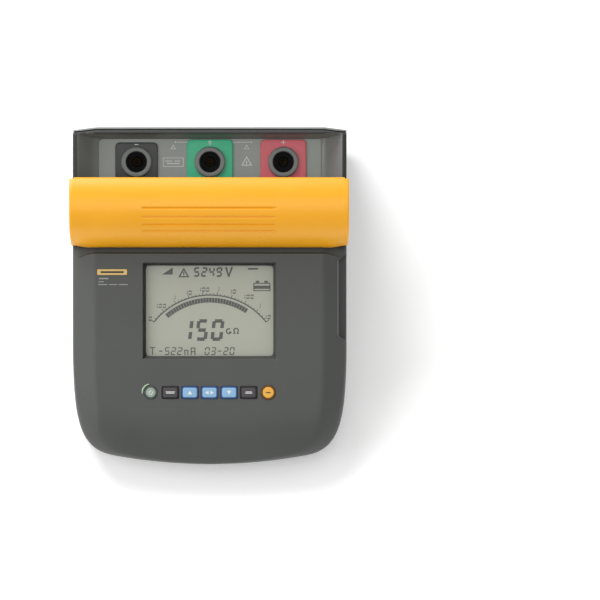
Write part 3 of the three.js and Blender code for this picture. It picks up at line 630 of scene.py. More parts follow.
def user_edge(u):
    """Height v of the case's near edge at each u: a shallow parabola, then a cubic Bezier corner.
    The Bezier's parameter at each u is found from a fine table by interpolation."""
    end = HALF - CORNER["reach"]
    across = np.abs(u)
    t = np.linspace(0, 1, 2001)
    weights = [(1 - t) ** 3, 3 * (1 - t) ** 2 * t, 3 * (1 - t) * t ** 2, t ** 3]
    (first_u, first_v), (second_u, second_v) = CORNER["first"], CORNER["second"]
    corner_u = sum(w * x for w, x in zip(weights, [end, HALF - first_u, HALF - second_u, HALF]))
    corner_v = sum(w * y for w, y in zip(weights, [CORNER["sag"], first_v, second_v, CORNER["rise"]]))
    return np.where(
        across <= end, CORNER["sag"] * (across / end) ** 2, np.interp(across, corner_u, corner_v)
    )


def half_width(v):
    """Half width of the case at each v, from the same corner curve."""
    u = np.concatenate([np.linspace(0, HALF - 2, 400), np.linspace(HALF - 2, HALF, 400)[1:]])
    return np.interp(v, user_edge(u), u, right=HALF)


def end_edge(u, top):
    """The far edge of the face: level in the middle and sloping off towards the sides."""
    return top - FAR_DROP * np.clip((np.abs(u) - (HALF - FAR_BEVEL)) / FAR_BEVEL, 0, 1)


# ---- Front cover ----
PANEL_GAP = 0.3  # between the terminal panel and the moulding round it
CHEEK = 18.3  # width of the sloping cheek on each side of the panel
END_SLOPE = 4.9  # width of the slope at the panel's far end
GROOVE_WIDTH, GROOVE_DEPTH = 6, 6  # of the groove by the handle
GROOVE_START = face_box("terminal_panel")[0][1] - PANEL_GAP - GROOVE_WIDTH
WINDOW_LIP = 3.7  # how far the cover reaches over the window
RECESS_SLOPE, RECESS_DEPTH = 2.8, 4.7  # width and fall of the slope round the display
PORT = (144.7, 31.9)  # middle and half length of the side recess along its floor
KEY_NAMES = [
    "key_power", "key_function", "key_up", "key_left_right", "key_down", "key_info", "key_test",
]
ROUND_KEYS = ("key_power", "key_test")
KEY_GAP = 0.95  # from a key's cap to the edge of its opening
SOCKETS = ("black", "green", "red")
BORE_HOLE = 10.2  # radius of the cover's hole under each socket, hidden by its barrel
WELL_RIM = -12.0  # height of the well's rim at its far end; under the handle it starts at half
RIM_START, RIM_RUN = 222.0, 6.0  # where that rim falls, and over which length
GROOVE_EDGE = 184.0  # where the face ends at the groove by the handle
# Grid lines of the cover where it bends: across the cheeks in u, round the groove and over the far
# slope in v.
CHEEK_LINES = [97.0, 97.1, 98.5, 101.5, 104.5, 107.5, 110.85, 110.95, 113, 115.2, 115.35, 115.7]
GROOVE_LINES = [GROOVE_EDGE + k for k in (-0.6, -0.3, 0, 0.3, 0.6)] + [189.95, 190.05]
END_LINES = [283.55, 283.65, 285, 286.5, 288, 288.45, 288.55, 289.3, 289.8, 290.15]
PORT_FLOOR, PORT_WIDTH = -23.0, 8.05  # height and width of the side recess's floor
PORT_FLARE, FLARE_RUN, FLARE_REACH = 6, 8.1, 12  # how its ends open outwards, over which u and v
DROOP, DROOP_RUN = 5, 6  # how far the face's end runs down at the sides, and over which v


def key_top_box(name):
    """The cap of a key above the face: lowest and highest corner, without its hidden flange."""
    points = turned_to_face(node_points(name)) - FACE_ORIGIN
    cap = points[points[:, 2] > 0]
    return cap.min(0), cap.max(0)


def holes():
    """Openings of the cover: centre, half sizes, the power of their outline (2 is round, more is
    squarer) and how far their rounding spreads."""
    found = []
    for name in KEY_NAMES:
        low, high = key_top_box(name)
        half = (high - low)[:2] / 2 + KEY_GAP
        found.append((*((low + high)[:2] / 2), *half, 2.0 if name in ROUND_KEYS else 9.0, 1.15))
    middle, size = face_plan("display_window")[:2]
    found.append((*middle, *(size / 2 - WINDOW_LIP), 40.0, 1.03))
    for name in SOCKETS:
        found.append((*face_plan(f"socket_barrel_{name}")[0], BORE_HOLE, BORE_HOLE, 2.0, 1.1))
    return found


def round_holes(u, v, openings):
    """Moves grid points near each opening so that its square edge takes a rounded outline: a point
    at square distance q is pulled towards power-norm distance, fading out at the spread."""
    for cu, cv, hu, hv, power, spread in openings:
        a, b = (u - cu) / hu, (v - cv) / hv
        q = np.maximum(np.abs(a), np.abs(b)) + 1e-9
        norm = (np.abs(a) ** power + np.abs(b) ** power) ** (1 / power) + 1e-9
        pull = 1 + np.clip((spread - q) / (spread - 1), 0, 1) * (q / norm - 1)
        near = q < spread
        u = np.where(near, cu + (u - cu) * pull, u)
        v = np.where(near, cv + (v - cv) * pull, v)
    return u, v


def cover_height(u, v):
    """Height w of the cover's outer surface, as a sum of the bevels and rolled nose, the display
    recess, the groove, the well with its sloping cheeks, and the side recess."""
    s = bpy.context.scene.tester_sizes
    bevel, drop = s.bevel_width * MM, s.bevel_drop * MM
    run, nose = s.nose_run * MM, s.nose_drop * MM
    soft, edge = s.crease_radius * MM, s.edge_radius * MM
    side = np.maximum(half_width(v) - np.abs(u), 0)
    near = np.maximum(v - user_edge(u), 0)
    # The bevel: a straight slope whose crease is blended over the crease radius.
    x = bevel - side
    slope = np.where(x < -soft, 0, np.where(x > soft, x, (x + soft) ** 2 / (4 * soft)))
    fall_side = drop / bevel * slope
    fall_nose = nose * np.clip(1 - near / run, 0, 1) ** 2.2
    w = -((fall_side ** 2.5 + fall_nose ** 2.5) ** 0.4)
    # The well: its rim, its curved cheeks, its far slope and its floor under the panel.
    panel_low, panel_high = face_box("terminal_panel")
    floor, panel_top = panel_low[2] - PANEL_GAP, panel_high[2]
    panel_half, panel_end = panel_high[0] + PANEL_GAP, panel_high[1] + PANEL_GAP
    rim = WELL_RIM / 2 * (1 + smooth((v - RIM_START) / RIM_RUN))
    cheek = np.clip((np.abs(u) - panel_half) / CHEEK, 0, 1)
    end = np.clip((v - panel_end) / END_SLOPE, 0, 1)
    bowl = panel_top + (WELL_RIM - panel_top) * np.maximum(cheek ** 1.5, end ** 1.2)
    bowl = np.where((cheek >= 1) | (end >= 1), rim, bowl)
    bowl = np.where((cheek <= 0) & (end <= 0), floor, bowl)
    well_start = panel_low[1] - PANEL_GAP + 0.05
    in_well = v > well_start
    w = np.where(in_well, np.minimum(bowl, rim), w)
    # The groove in front of the handle.
    groove = np.maximum(w - GROOVE_DEPTH * smooth(v - GROOVE_START + 0.5), 0.35 * w - GROOVE_DEPTH)
    w = np.where(v <= well_start, np.minimum(w, groove), w)
    # The display recess: sloping walls down to a lip round the window.
    centre, size = face_plan("display_window")[:2]
    half = size / 2 - WINDOW_LIP
    outside = np.maximum(np.abs(u - centre[0]) - half[0], np.abs(v - centre[1]) - half[1])
    w = w - RECESS_DEPTH * (1 - smooth(outside / RECESS_SLOPE))
    # The side recess.
    port = (u > HALF - PORT_WIDTH) & (np.abs(v - PORT[0]) < PORT[1] + 0.02)
    w = np.where(port, PORT_FLOOR, w)
    # The round along the outer edge.
    d = np.minimum(side, np.minimum(near, end_edge(u, FRONT_TOP) - v))
    x = np.clip(1 - d / edge, 0, 1)
    return np.maximum(w - edge * (1 - np.sqrt(1 - x ** 2)), floor)


def cover_lines():
    """Grid lines of the cover in u and v: through every edge, and close together where it rounds."""
    u = [0, HALF - 0.15, HALF - 0.5, HALF - 1.1, HALF - 2.0, HALF - 2.6, HALF]
    v = [0, 0.15, 0.5, 1.1, 2.0, 3.0, 4.5, 6.5, 9, 12, 16, 20, 25, 30, 36, 44]
    for cu, cv, hu, hv, power, spread in holes():
        for side in (-1, 1):
            u += [cu + side * hu, cu + side * hu * spread]
            v += [cv + side * hv, cv + side * hv * spread]
            if power < 4:
                u += [cu + side * hu * k for k in (0.26, 0.5, 0.71, 0.87)]
                v += [cv + side * hv * k for k in (0.26, 0.5, 0.71, 0.87)]
            elif power < 20:
                u += [cu + side * hu * k for k in (0.8, 0.9, 0.96)]
                v += [cv + side * hv * k for k in (0.75, 0.88, 0.95)]
            else:
                for k in (0.3, 0.9, 1.8, 2.4, RECESS_SLOPE):
                    u.append(cu + side * (hu + k))
                    v.append(cv + side * (hv + k))
    u = [abs(x) for x in u]
    u += [HALF - FAR_BEVEL + k for k in (-3, -1.5, 0, 1.5, 3)]
    u += CHEEK_LINES
    v += [PORT[0] + s * (PORT[1] + k) for s in (-1, 1) for k in (0, 0.1)]
    v += GROOVE_LINES + END_LINES + [RIM_START + k for k in (0, 2, 4, RIM_RUN)] + [FRONT_TOP]
    return lines([-x for x in u] + u, 3.2), lines(v, 3.2)


def nearby_low(w, at, reach, axis):
    """Lowest height within reach along one axis of a grid, line by line."""
    rows = [
        np.take(w, np.flatnonzero(np.abs(at - here) <= reach), axis).min(axis) for here in at
    ]
    return np.stack(rows, axis)


def case_grid(u_lines, v_lines, top):
    """Grid points of the face: columns keep their u, and each column's rows are squeezed above the
    near edge, the more the closer they are to it, and below the far edge."""
    u, v = np.meshgrid(u_lines, v_lines)
    edge = user_edge(u)
    span = CORNER["rise"] + 4
    power = np.clip(0.8 * span / np.maximum(edge, 1), 1, 8)
    v = v + edge * np.clip(1 - v / span, 0, 1) ** power
    over = np.clip((v - top + 6) / 6, 0, 1)
    return u, v + (end_edge(u, top) - top) * over


class OBJECT_OT_tester_cover(bpy.types.Operator):
    """Front cover: one height field over the face, thickened downwards, with its openings left out"""

    bl_idname = "object.tester_cover"
    bl_label = "Front cover"

    def execute(self, context):
        wall = context.scene.tester_sizes.wall * MM
        openings = holes()
        u_lines, v_lines = cover_lines()
        u, v = case_grid(u_lines, v_lines, FRONT_TOP)
        flare = PORT_FLARE * np.clip((u - (HALF - FLARE_RUN)) / FLARE_RUN, 0, 1)
        spread = np.clip(1 - np.abs(np.abs(v - PORT[0]) - PORT[1]) / FLARE_REACH, 0, 1)
        shift = np.sign(v - PORT[0]) * flare * spread
        droop = -DROOP * smooth((np.abs(u) - (HALF - FAR_BEVEL)) / FAR_BEVEL)
        droop = droop * np.clip(1 - np.abs(v - GROOVE_EDGE) / DROOP_RUN, 0, 1)
        u, v_flat = round_holes(u, v, openings)
        w = cover_height(u, v_flat)
        v = v_flat + shift + droop
        low = nearby_low(nearby_low(w, u_lines, wall, 1), v_lines, wall, 0) - wall
        window_low, window_high = face_box("display_window")
        frame_zone = (
            (np.abs(u) < window_high[0] + 4) & (v > window_low[1] - 4) & (v < window_high[1] + 4)
        )
        low = np.where(frame_zone, np.maximum(low, window_high[2] + 0.3), low)
        side = half_width(v_flat) - np.abs(u)
        near = v_flat - user_edge(u)
        far = end_edge(u, FRONT_TOP) - v_flat
        rim = np.minimum(side, np.minimum(near, far)) < wall
        low = np.where(rim, PARTING, low)
        low = np.minimum(low, w - 0.2)
        centre_u = (u_lines[1:] + u_lines[:-1]) / 2
        centre_v = (v_lines[1:] + v_lines[:-1]) / 2
        cells_u, cells_v = np.meshgrid(centre_u, centre_v)
        keep = np.ones(cells_u.shape, bool)
        for cu, cv, hu, hv, _, _ in openings:
            keep &= (np.abs(cells_u - cu) > hu) | (np.abs(cells_v - cv) > hv)
        cover = grid_solid(
            "front_cover", to_case(u, v, w), to_case(u, v, low), keep, MATERIALS["cover_grey"], 32
        )
        self.paint_cover_light_and_shade(cover)
        finish_piece(cover, nodes=["front_housing"])
        return {"FINISHED"}

    @staticmethod
    def paint_cover_light_and_shade(cover):
        """Painted light and shade on the cover, as a factor on its colour, and where it is polished: painted shade
        darkens the well's rims, the display's sloping frame, most on its upper and left walls, and the groove
        under the handle, and painted light makes the well's slopes paler."""
        u, v, _ = face_points(cover).T
        panel_low, panel_high = face_box("terminal_panel")
        cheek = (np.abs(u) - panel_high[0] - PANEL_GAP) / CHEEK
        end = (v - panel_high[1] - PANEL_GAP) / END_SLOPE
        in_well, outwards = v > panel_low[1] + 1, np.maximum(cheek, end)
        # Painted light on the well's sloping cheeks and far slope, painted shade on its rims.
        painted_light_shade = np.where(in_well & (outwards > 0), np.where(outwards < 1, 3.1, 0.28), 1.0)
        middle, size = face_plan("display_window")[:2]
        du, dv = np.abs(np.stack([u - middle[0], v - middle[1]])) - size[:, None] / 2 + WINDOW_LIP
        lit = ((v < middle[1]) & (dv > du)) | ((u > middle[0]) & (du > dv))
        # Painted shade on the display's sloping frame: its upper and left walls darker than its lower and right
        # ones.
        painted_light_shade = np.where(np.maximum(du, dv) < RECESS_SLOPE - 0.2, np.where(lit, 0.75, 0.2), painted_light_shade)
        groove = (v > GROOVE_START) & ~in_well
        # Painted shadow in the groove under the handle, deeper towards the handle.
        painted_light_shade = np.where(groove, 1 - 0.9 * smooth((v - GROOVE_START) / 5), painted_light_shade)
        paint(cover, "painted_light_shade", painted_light_shade)
        paint(cover, "gloss", (in_well & (cheek > 0) & (cheek < 1) & (end <= 0)).astype(float))


# ---- Rear shell ----
RIM_ROUND = 1.5  # round along the rear shell's rim
HEEL = 22.0  # radius of the heel, where the base turns up into the far wall


def case_loop(count=150):
    """Right half of the case's outline in (u, v), from the middle of the near edge round to the
    middle of the far edge. Points crowd towards the near corner as a sine does."""
    u = HALF * np.sin(np.linspace(0, math.pi / 2, count))
    v = user_edge(u)
    side_v = np.linspace(CORNER["rise"], REAR_TOP - FAR_DROP, 60)[1:]
    level = HALF - FAR_BEVEL
    far_u = np.concatenate([HALF - FAR_BEVEL * np.linspace(0, 1, 8), np.linspace(level, 0, 24)[1:]])
    far_v = end_edge(far_u, REAR_TOP)
    return (
        np.concatenate([u, np.full(len(side_v), HALF), far_u[1:]]),
        np.concatenate([v, side_v, far_v[1:]]),
    )


class OBJECT_OT_tester_rear(bpy.types.Operator):
    """Rear shell: the outline carried straight down from the parting line, rounded into the base"""

    bl_idname = "object.tester_rear"
    bl_label = "Rear shell"

    def execute(self, context):
        sizes = context.scene.tester_sizes
        radius = sizes.base_radius * MM
        u, v = case_loop()
        top = to_case(u, v, np.full_like(u, REAR_RIM)) * MM
        # Each point runs down the wall until it meets the base, the heel or the far wall.
        low, high = case_box("rear_housing")
        base, back = low[2], high[1]
        down = np.linspace(0, 260, 2601)
        y = top[:, 1, None] + down * SIN
        z = top[:, 2, None] - down * COS
        heel_y, heel_z = back - HEEL, base + HEEL
        inside = (z > base) & (y < back)
        inside &= (y < heel_y) | (z > heel_z) | ((y - heel_y) ** 2 + (z - heel_z) ** 2 < HEEL ** 2)
        reach = down[inside.sum(1) - 1]
        foot = np.stack([u, top[:, 1] + reach * SIN, top[:, 2] - reach * COS], -1)
        # Inward direction along the base or heel, at right angles to the rim.
        along = np.gradient(foot, axis=0)
        on_heel = (foot[:, 1] > heel_y) & (foot[:, 2] < heel_z)
        on_back = (foot[:, 2] >= heel_z) & (foot[:, 1] > heel_y)
        outward = np.stack([
            0 * u,
            np.where(on_heel, foot[:, 1] - heel_y, np.where(on_back, 1.0, 0.0)),
            np.where(on_heel, foot[:, 2] - heel_z, np.where(on_back, 0.0, -1.0)),
        ], -1)
        outward /= np.linalg.norm(outward, axis=1, keepdims=True)
        inward = np.cross(outward, along)
        inward /= np.linalg.norm(inward, axis=1, keepdims=True) + 1e-9
        middle = np.array([0.0, foot[:, 1].mean(), foot[:, 2].mean()])
        inward *= np.sign(((middle - foot) * inward).sum(1))[:, None]
        up = np.array([0, -SIN, COS])
        run_u, run_v = np.gradient(u), np.gradient(v)
        size = np.hypot(run_u, run_v)
        across = np.stack([-run_v / size, run_u / size * COS, run_u / size * SIN], -1)
        rows = [
            top + RIM_ROUND * ((1 - math.cos(turn)) * across - (1 - math.sin(turn)) * up)
            for turn in np.linspace(math.pi / 2, 0, 6)
        ]
        start = rows[-1]
        for part in np.linspace(0, 1, 26)[1:]:
            rows.append(start + (foot + radius * up - start) * part)
        for turn in np.linspace(0, math.pi / 2, 8)[1:]:
            rows.append(
                foot + radius * (1 - math.sin(turn)) * up + radius * (1 - math.cos(turn)) * inward
            )
        rows = np.stack(rows)
        rows[:, :, 0] = np.maximum(rows[:, :, 0], 0)
        rows[:, :, 1] = np.minimum(rows[:, :, 1], back)
        shares = np.stack([np.linspace(1, 0, 14)[1:], np.ones(13), np.ones(13)], -1)
        rows = np.concatenate([rows, rows[-1] * shares[:, None]])
        mirrored = rows[:, ::-1] * np.array([-1, 1, 1])
        loop = np.concatenate([rows, mirrored[:, 1:-1]], 1) / MM
        faces = ring_faces(len(loop), loop.shape[1])
        shell = mesh_object("rear_shell", loop, faces, MATERIALS["cover_grey"], 32, merge=True)
        point_outwards(shell)
        thicken(shell, sizes.wall)
        points = np.zeros(len(shell.data.vertices) * 3)
        shell.data.vertices.foreach_get("co", points)
        points[1::3] = np.minimum(points[1::3], back / MM)
        shell.data.vertices.foreach_set("co", points)
        cut_with(shell, [inlet_cutter()] + foot_cutters() + screw_cutters())
        _, v, w = face_points(shell).T
        # Painted highlight on the rear shell's ledge above the cover's far end, which is also polished.
        lit_ledge = (w > REAR_RIM - RIM_ROUND - 0.2) & (v > FRONT_TOP - 0.5)
        paint(shell, "painted_light_shade", np.where(lit_ledge, 3.4, 1.0))
        paint(shell, "gloss", lit_ledge.astype(float))
        finish_piece(shell, nodes=["rear_housing"])
        return {"FINISHED"}


def thicken(piece, wall):
    """Gives an open shell its wall, inwards, and applies it."""
    solid = piece.modifiers.new("Wall", "SOLIDIFY")
    solid.thickness = wall
    solid.offset = -1
    solid.use_rim = True
    apply_modifiers(piece)


def apply_modifiers(piece):
    """Replaces a piece's mesh by its evaluated mesh and removes its modifiers."""
    graph = bpy.context.evaluated_depsgraph_get()
    mesh = bpy.data.meshes.new_from_object(piece.evaluated_get(graph))
    piece.modifiers.clear()
    old = piece.data
    piece.data = mesh
    bpy.data.meshes.remove(old)
    mesh.name = piece.name
    mesh.set_sharp_from_angle(angle=math.radians(32))


def cut_with(piece, cutters):
    """Cuts the cutters out of a piece, one boolean each, then removes them."""
    for cutter in cutters:
        made = piece.modifiers.new("Cut", "BOOLEAN")
        made.operation = "DIFFERENCE"
        made.solver = "EXACT"
        made.object = cutter
        apply_modifiers(piece)
        bpy.data.objects.remove(cutter)


def inlet_cutter():
    """A rounded block through the far wall, where the mains inlet's flange sits."""
    low, high = face_box("mains_inlet")
    width, height = (high - low)[0] + 0.6, (high - low)[2] + 0.6
    u, w = (low + high)[0] / 2, (low + high)[2] / 2
    x, y = rounded_loop(u, w, width, height, 2.2)
    rings = np.stack([to_case(x, np.full_like(x, s), y) for s in (high[1] - 14, high[1] + 8)])
    return ring_solid("inlet_cutter", rings, None)


def foot_cutters():
    """A shallow disc at each foot."""
    made = []
    for k in range(1, 5):
        low, high = case_box(f"foot_{k}")
        x, y = (low + high)[:2] / 2
        radius = (high - low)[0] / 2 + 0.3
        made.append(lathe(
            f"foot_cutter_{k}", [(0, -1), (radius, -1), (radius, high[2] + 0.2), (0, high[2] + 0.2)],
            on_base(x, y), None, 40,
        ))
    return made


def screw_cutters():
    """The deep hole under each housing screw, from the base up along the face's normal."""
    made = []
    for k in range(1, 7):
        middle, _, low, _ = face_plan(f"housing_screw_{k}")
        profile = [(0, -220), (3.5, -220), (3.5, low), (0, low)]
        made.append(lathe(f"screw_cutter_{k}", profile, on_face(*middle), None, 28))
    return made


# ---- Handle ----
CROWN = (226.3, -10.0)  # centre of the handle's arc in v and w
CROWN_OUTER, CROWN_INNER = 38.0, 33.0
CROWN_START, CROWN_END = math.radians(172), math.radians(53.6)
GRIP_LINES = (223.4, 215.6, 209.0, 203.3)  # v of each line on the handle
OUTER_POINTS, INNER_POINTS = 150, 60  # points along the two arcs of its section


class OBJECT_OT_tester_handle(bpy.types.Operator):
    """Handle: a round-edged arc band between two end plates, with four shallow grip lines"""

    bl_idname = "object.tester_handle"
    bl_label = "Handle"

    def execute(self, context):
        depth = context.scene.tester_sizes.groove_depth * MM
        half = face_box("carry_handle")[1][0]
        crown = self.band(
            "crown", half - 3.9, CROWN_OUTER, CROWN_INNER, CROWN_START, CROWN_END, depth
        )
        legs = [self.leg(f"leg_{side}", side, half) for side in (-1, 1)]
        handle = join_objects("handle", [crown] + legs)
        finish_piece(handle, nodes=["carry_handle"])
        liner = self.band(
            "grip_liner", half - 10, CROWN_INNER - 0.3, CROWN_INNER - 3.3,
            math.radians(156), math.radians(57.6), 0.0,
        )
        liner.data.materials[0] = MATERIALS["grip_rubber"]
        finish_piece(liner, nodes=["handle_liner"])
        return {"FINISHED"}

    @staticmethod
    def end_lift(u, v):
        """How much the near edge rises towards the handle's ends: two smooth steps multiplied."""
        return 1.8 * smooth((np.abs(u) - 104) / 15) * smooth((208 - v) / 20)

    @classmethod
    def band(cls, name, half, outer, inner, start, end, depth):
        """Arc band: its section is an arc out, a half circle, the inner arc back and another half
        circle, carried along u. The grip lines lower the outer arc as cosine dips."""
        middle, reach = (outer + inner) / 2, (outer - inner) / 2
        turn = np.linspace(0, math.pi, 10)[1:-1]
        radius = np.concatenate([
            np.full(OUTER_POINTS, outer), middle + reach * np.cos(turn),
            np.full(INNER_POINTS, inner), middle - reach * np.cos(turn),
        ])
        angle = np.concatenate([
            np.linspace(start, end, OUTER_POINTS), end - reach / middle * np.sin(turn),
            np.linspace(end, start, INNER_POINTS), start + reach / middle * np.sin(turn),
        ])
        u = np.concatenate([
            np.linspace(-half, -59, 24), np.linspace(-58.4, 58.4, 60), np.linspace(59, half, 24)
        ])
        u, angle = np.meshgrid(u, angle, indexing="ij")
        v = CROWN[0] + outer * np.cos(angle)
        on_top = np.arange(angle.shape[1]) < OUTER_POINTS
        fade = smooth((58.2 - np.abs(u)) / 1.2)
        dip = np.zeros_like(v)
        for line in GRIP_LINES:
            dip += np.where(np.abs(v - line) < 1.1, 0.5 + 0.5 * np.cos(math.pi * (v - line) / 1.1), 0)
        radius = radius - np.where(on_top, depth * dip * fade, 0)
        v = CROWN[0] + radius * np.cos(angle)
        points = to_case(u, v + cls.end_lift(u, v), CROWN[1] + radius * np.sin(angle))
        return ring_solid(name, points, MATERIALS["handle_yellow"], 40)

    @classmethod
    def leg(cls, name, side, half):
        """End plate: the crown's arc closed down over the cheek. Rings at growing insets round its
        outer edge, and its lower end draws in towards the case."""
        angle = np.linspace(CROWN_END, CROWN_START, 60)
        arc_v, arc_w = [c + CROWN_OUTER * f(angle) for c, f in zip(CROWN, (np.cos, np.sin))]
        near, far, foot = CROWN[0] - 24, CROWN[0] + 16, PARTING + 0.3
        v = np.concatenate([
            arc_v, np.linspace(arc_v[-1], near, 9)[1:], np.linspace(near, far, 12)[1:],
            np.linspace(far, arc_v[0], 14)[1:-1],
        ])
        w = np.concatenate([
            arc_w, np.linspace(arc_w[-1], foot, 9)[1:], np.full(11, foot),
            np.linspace(foot, arc_w[0], 14)[1:-1],
        ])
        away = np.stack([v - CROWN[0], w - CROWN[1] - 8], -1)
        away /= np.linalg.norm(away, axis=1, keepdims=True)
        turn = np.linspace(0, math.pi / 2, 7)
        edge = 1.3
        insets = np.concatenate([[0, 0], edge * (1 - np.cos(turn[1:]))])
        reach = np.concatenate([[half - 4.2, half - edge], half - edge + edge * np.sin(turn[1:])])
        draw = 0.7 * smooth((205 - v) / 18)
        v = v + cls.end_lift(half, v)
        rings = np.stack([
            to_case(
                side * (r - draw * (r > half - 3)), v - s * away[:, 0], w - s * away[:, 1]
            ) for s, r in zip(insets, reach)
        ])
        return ring_solid(name, rings, MATERIALS["handle_yellow"], 40)


# ---- Sockets ----
class OBJECT_OT_tester_sockets(bpy.types.Operator):
    """Sockets: rounded colour surrounds, ringed barrels and turned brass contacts, with plain marks"""

    bl_idname = "object.tester_sockets"
    bl_label = "Sockets"

    def execute(self, context):
        for name in SOCKETS:
            self.surround(name)
            self.barrel(name)
            self.contact(name)
        self.marks()
        return {"FINISHED"}

    @staticmethod
    def surround(name):
        """The rounded plate round one socket, with a round hole for its barrel."""
        node = f"socket_bezel_{name}"
        middle, size, low, high = face_plan(node)
        hole = (*face_plan(f"socket_barrel_{name}")[0], 11.9)
        piece = holed_slab(
            f"surround_{name}", *middle, *size, 4.0, hole, low, high, 0.9,
            MATERIALS[f"surround_{name}"],
        )
        finish_piece(piece, nodes=[node])

    @staticmethod
    def barrel(name):
        """A ringed tube, a near-black sleeve inside it and a near-black floor round the contact; their black is
        partly their own and partly painted shade deep in the bore.
        """
        node = f"socket_barrel_{name}"
        middle, size, bottom, top = face_plan(node)
        ring, place = size[0] / 2, on_face(*middle)
        turn = np.linspace(0, math.pi / 2, 7)
        profile = [(0, bottom), (11.6, bottom), (11.6, top - 3), (ring, top - 3)]
        profile += [
            (ring - 1.2 + 1.2 * c, top - 1.2 + 1.2 * s) for c, s in zip(np.cos(turn), np.sin(turn))
        ]
        profile += [(9.9 - 0.7 * s, top - 0.7 + 0.7 * c) for c, s in zip(np.cos(turn), np.sin(turn))]
        profile += [(9.0, top - 6), (8.9, bottom + 3), (0, bottom + 3)]
        grey = lathe(f"barrel_{name}", profile, place, MATERIALS["ring_grey"], 64)
        finish_piece(grey, nodes=[node])
        sleeve = [(8.85, bottom + 3.1), (8.85, top - 1.5), (8.2, top - 1.2), (7.9, top - 1.6)]
        sleeve += [(7.9, bottom + 3.1), (8.85, bottom + 3.1)]
        liner = lathe(f"sleeve_{name}", sleeve, place, MATERIALS["deep_black"], 64)
        finish_piece(liner)
        disc = [(0, 3.05), (7.85, 3.05), (7.85, 4), (4.3, 4), (0, 3.3)]
        disc = [(radius, bottom + height) for radius, height in disc]
        floor = lathe(f"socket_floor_{name}", disc, place, MATERIALS["deep_black"], 48)
        finish_piece(floor)

    @staticmethod
    def contact(name):
        """The hollow contact at the bottom of one socket."""
        node = f"socket_contact_{name}"
        middle, size, low, high = face_plan(node)
        radius = size[0] / 2
        profile = [(0, low), (radius, low), (radius, high - 0.6), (radius - 0.6, high)]
        profile += [(2.4, high), (2.0, high - 0.4), (2.0, low + 2), (0, low + 2)]
        # Its darkened brass is painted shade of the deep bore.
        piece = lathe(f"contact_{name}", profile, on_face(*middle), MATERIALS["contact_brass"], 40)
        finish_piece(piece, nodes=[node])

    @staticmethod
    def marks():
        """A minus, a plus and an earth sign on the surrounds, and plain boxes and triangles between."""
        top = face_plan("socket_bezel_green")[3]
        panel = face_plan("terminal_panel")[3]
        marks = bars([
            (-64, 278.0, 3.4, 0.7), (64, 279.9, 3.4, 0.7), (64, 279.9, 0.7, 3.4), (0, 280.4, 3.6, 0.6),
            (0, 279.2, 2.4, 0.6), (0, 278.0, 1.2, 0.6), (0, 281.4, 0.6, 1.4),
        ])
        piece = plates("socket_marks", marks, top - 0.02, top + 0.05, MATERIALS["ink_grey"])
        finish_piece(piece)
        marks = frame_bars(-32, 262.6, 17.5, 7.4, 0.5) + triangle_frame(32, 262.4, 9.6, 0.8)
        marks += triangle_frame(-32, 275.3, 4.6, 0.5) + triangle_frame(32, 275.3, 4.6, 0.5)
        marks += bars([
            (-36, 263.6, 6, 0.7), (-28.4, 263.6, 5, 0.7), (-32, 261.4, 11, 0.7), (32, 262.3, 0.9, 3.0),
            (32, 259.6, 0.9, 0.9), (-24, 280, 9, 0.5), (27, 280, 16, 0.5), (-30, 280, 1, 1.4),
            (36, 280, 1, 1.4),
        ])
        piece = plates("panel_marks", marks, panel - 0.02, panel + 0.05, MATERIALS["ink_grey"])
        finish_piece(piece)


# ---- Flat marks ----
def bar(u, v, width, height, lean=0.0):
    """One rectangle about (u, v), leaning to the right by a share of its height."""
    a, b, s = width / 2, height / 2, lean * height / 2
    return [[(u - a - s, v - b), (u + a - s, v - b), (u + a + s, v + b), (u - a + s, v + b)]]


def bars(rows, u=0.0, v=0.0):
    """Several rectangles, each (u, v, width, height) from the point (u, v)."""
    return [shape for a, b, width, height in rows for shape in bar(u + a, v + b, width, height)]


def frame_bars(u, v, width, height, line):
    """Four bars that make a rectangle's outline."""
    a, b = width / 2, height / 2
    return (
        bar(u, v - b, width + line, line) + bar(u, v + b, width + line, line)
        + bar(u - a, v, line, height - line) + bar(u + a, v, line, height - line)
    )


def triangle(u, v, width, height, turn=0.0):
    """A triangle about (u, v) that points up when turn is 0, degrees anticlockwise."""
    corners = np.array([(-width / 2, -height / 2), (width / 2, -height / 2), (0, height / 2)])
    c, s = math.cos(math.radians(turn)), math.sin(math.radians(turn))
    return [[(u + c * x - s * y, v + s * x + c * y) for x, y in corners]]


def triangle_frame(u, v, side, line):
    """Three bars along the sides of an upright triangle."""
    height = side * math.sqrt(3) / 2
    outer = np.array([(-side / 2, -height / 3), (side / 2, -height / 3), (0, 2 * height / 3)])
    inner = outer * (1 - 3 * line / height)
    shapes = []
    for k in range(3):
        n = (k + 1) % 3
        shapes.append([tuple(p + (u, v)) for p in (outer[k], outer[n], inner[n], inner[k])])
    return shapes


def arc_band(u, v, radius, line, start, end, count=40):
    """Band of a circle between two angles in degrees, as short four-cornered pieces."""
    angle = np.radians(np.linspace(start, end, count + 1))
    inner, outer = radius - line / 2, radius + line / 2
    ring = np.stack([np.cos(angle), np.sin(angle)], -1)
    return [
        [
            tuple(ring[k] * r + (u, v))
            for k, r in ((i, inner), (i, outer), (i + 1, outer), (i + 1, inner))
        ]
        for i in range(count)
    ]


SEGMENTS = {
    "0": "abcdef", "1": "bc", "2": "abged", "3": "abgcd", "4": "fgbc", "5": "afgcd", "6": "afgedc",
    "7": "abc", "8": "abcdefg", "9": "abfgcd", "-": "g",
}


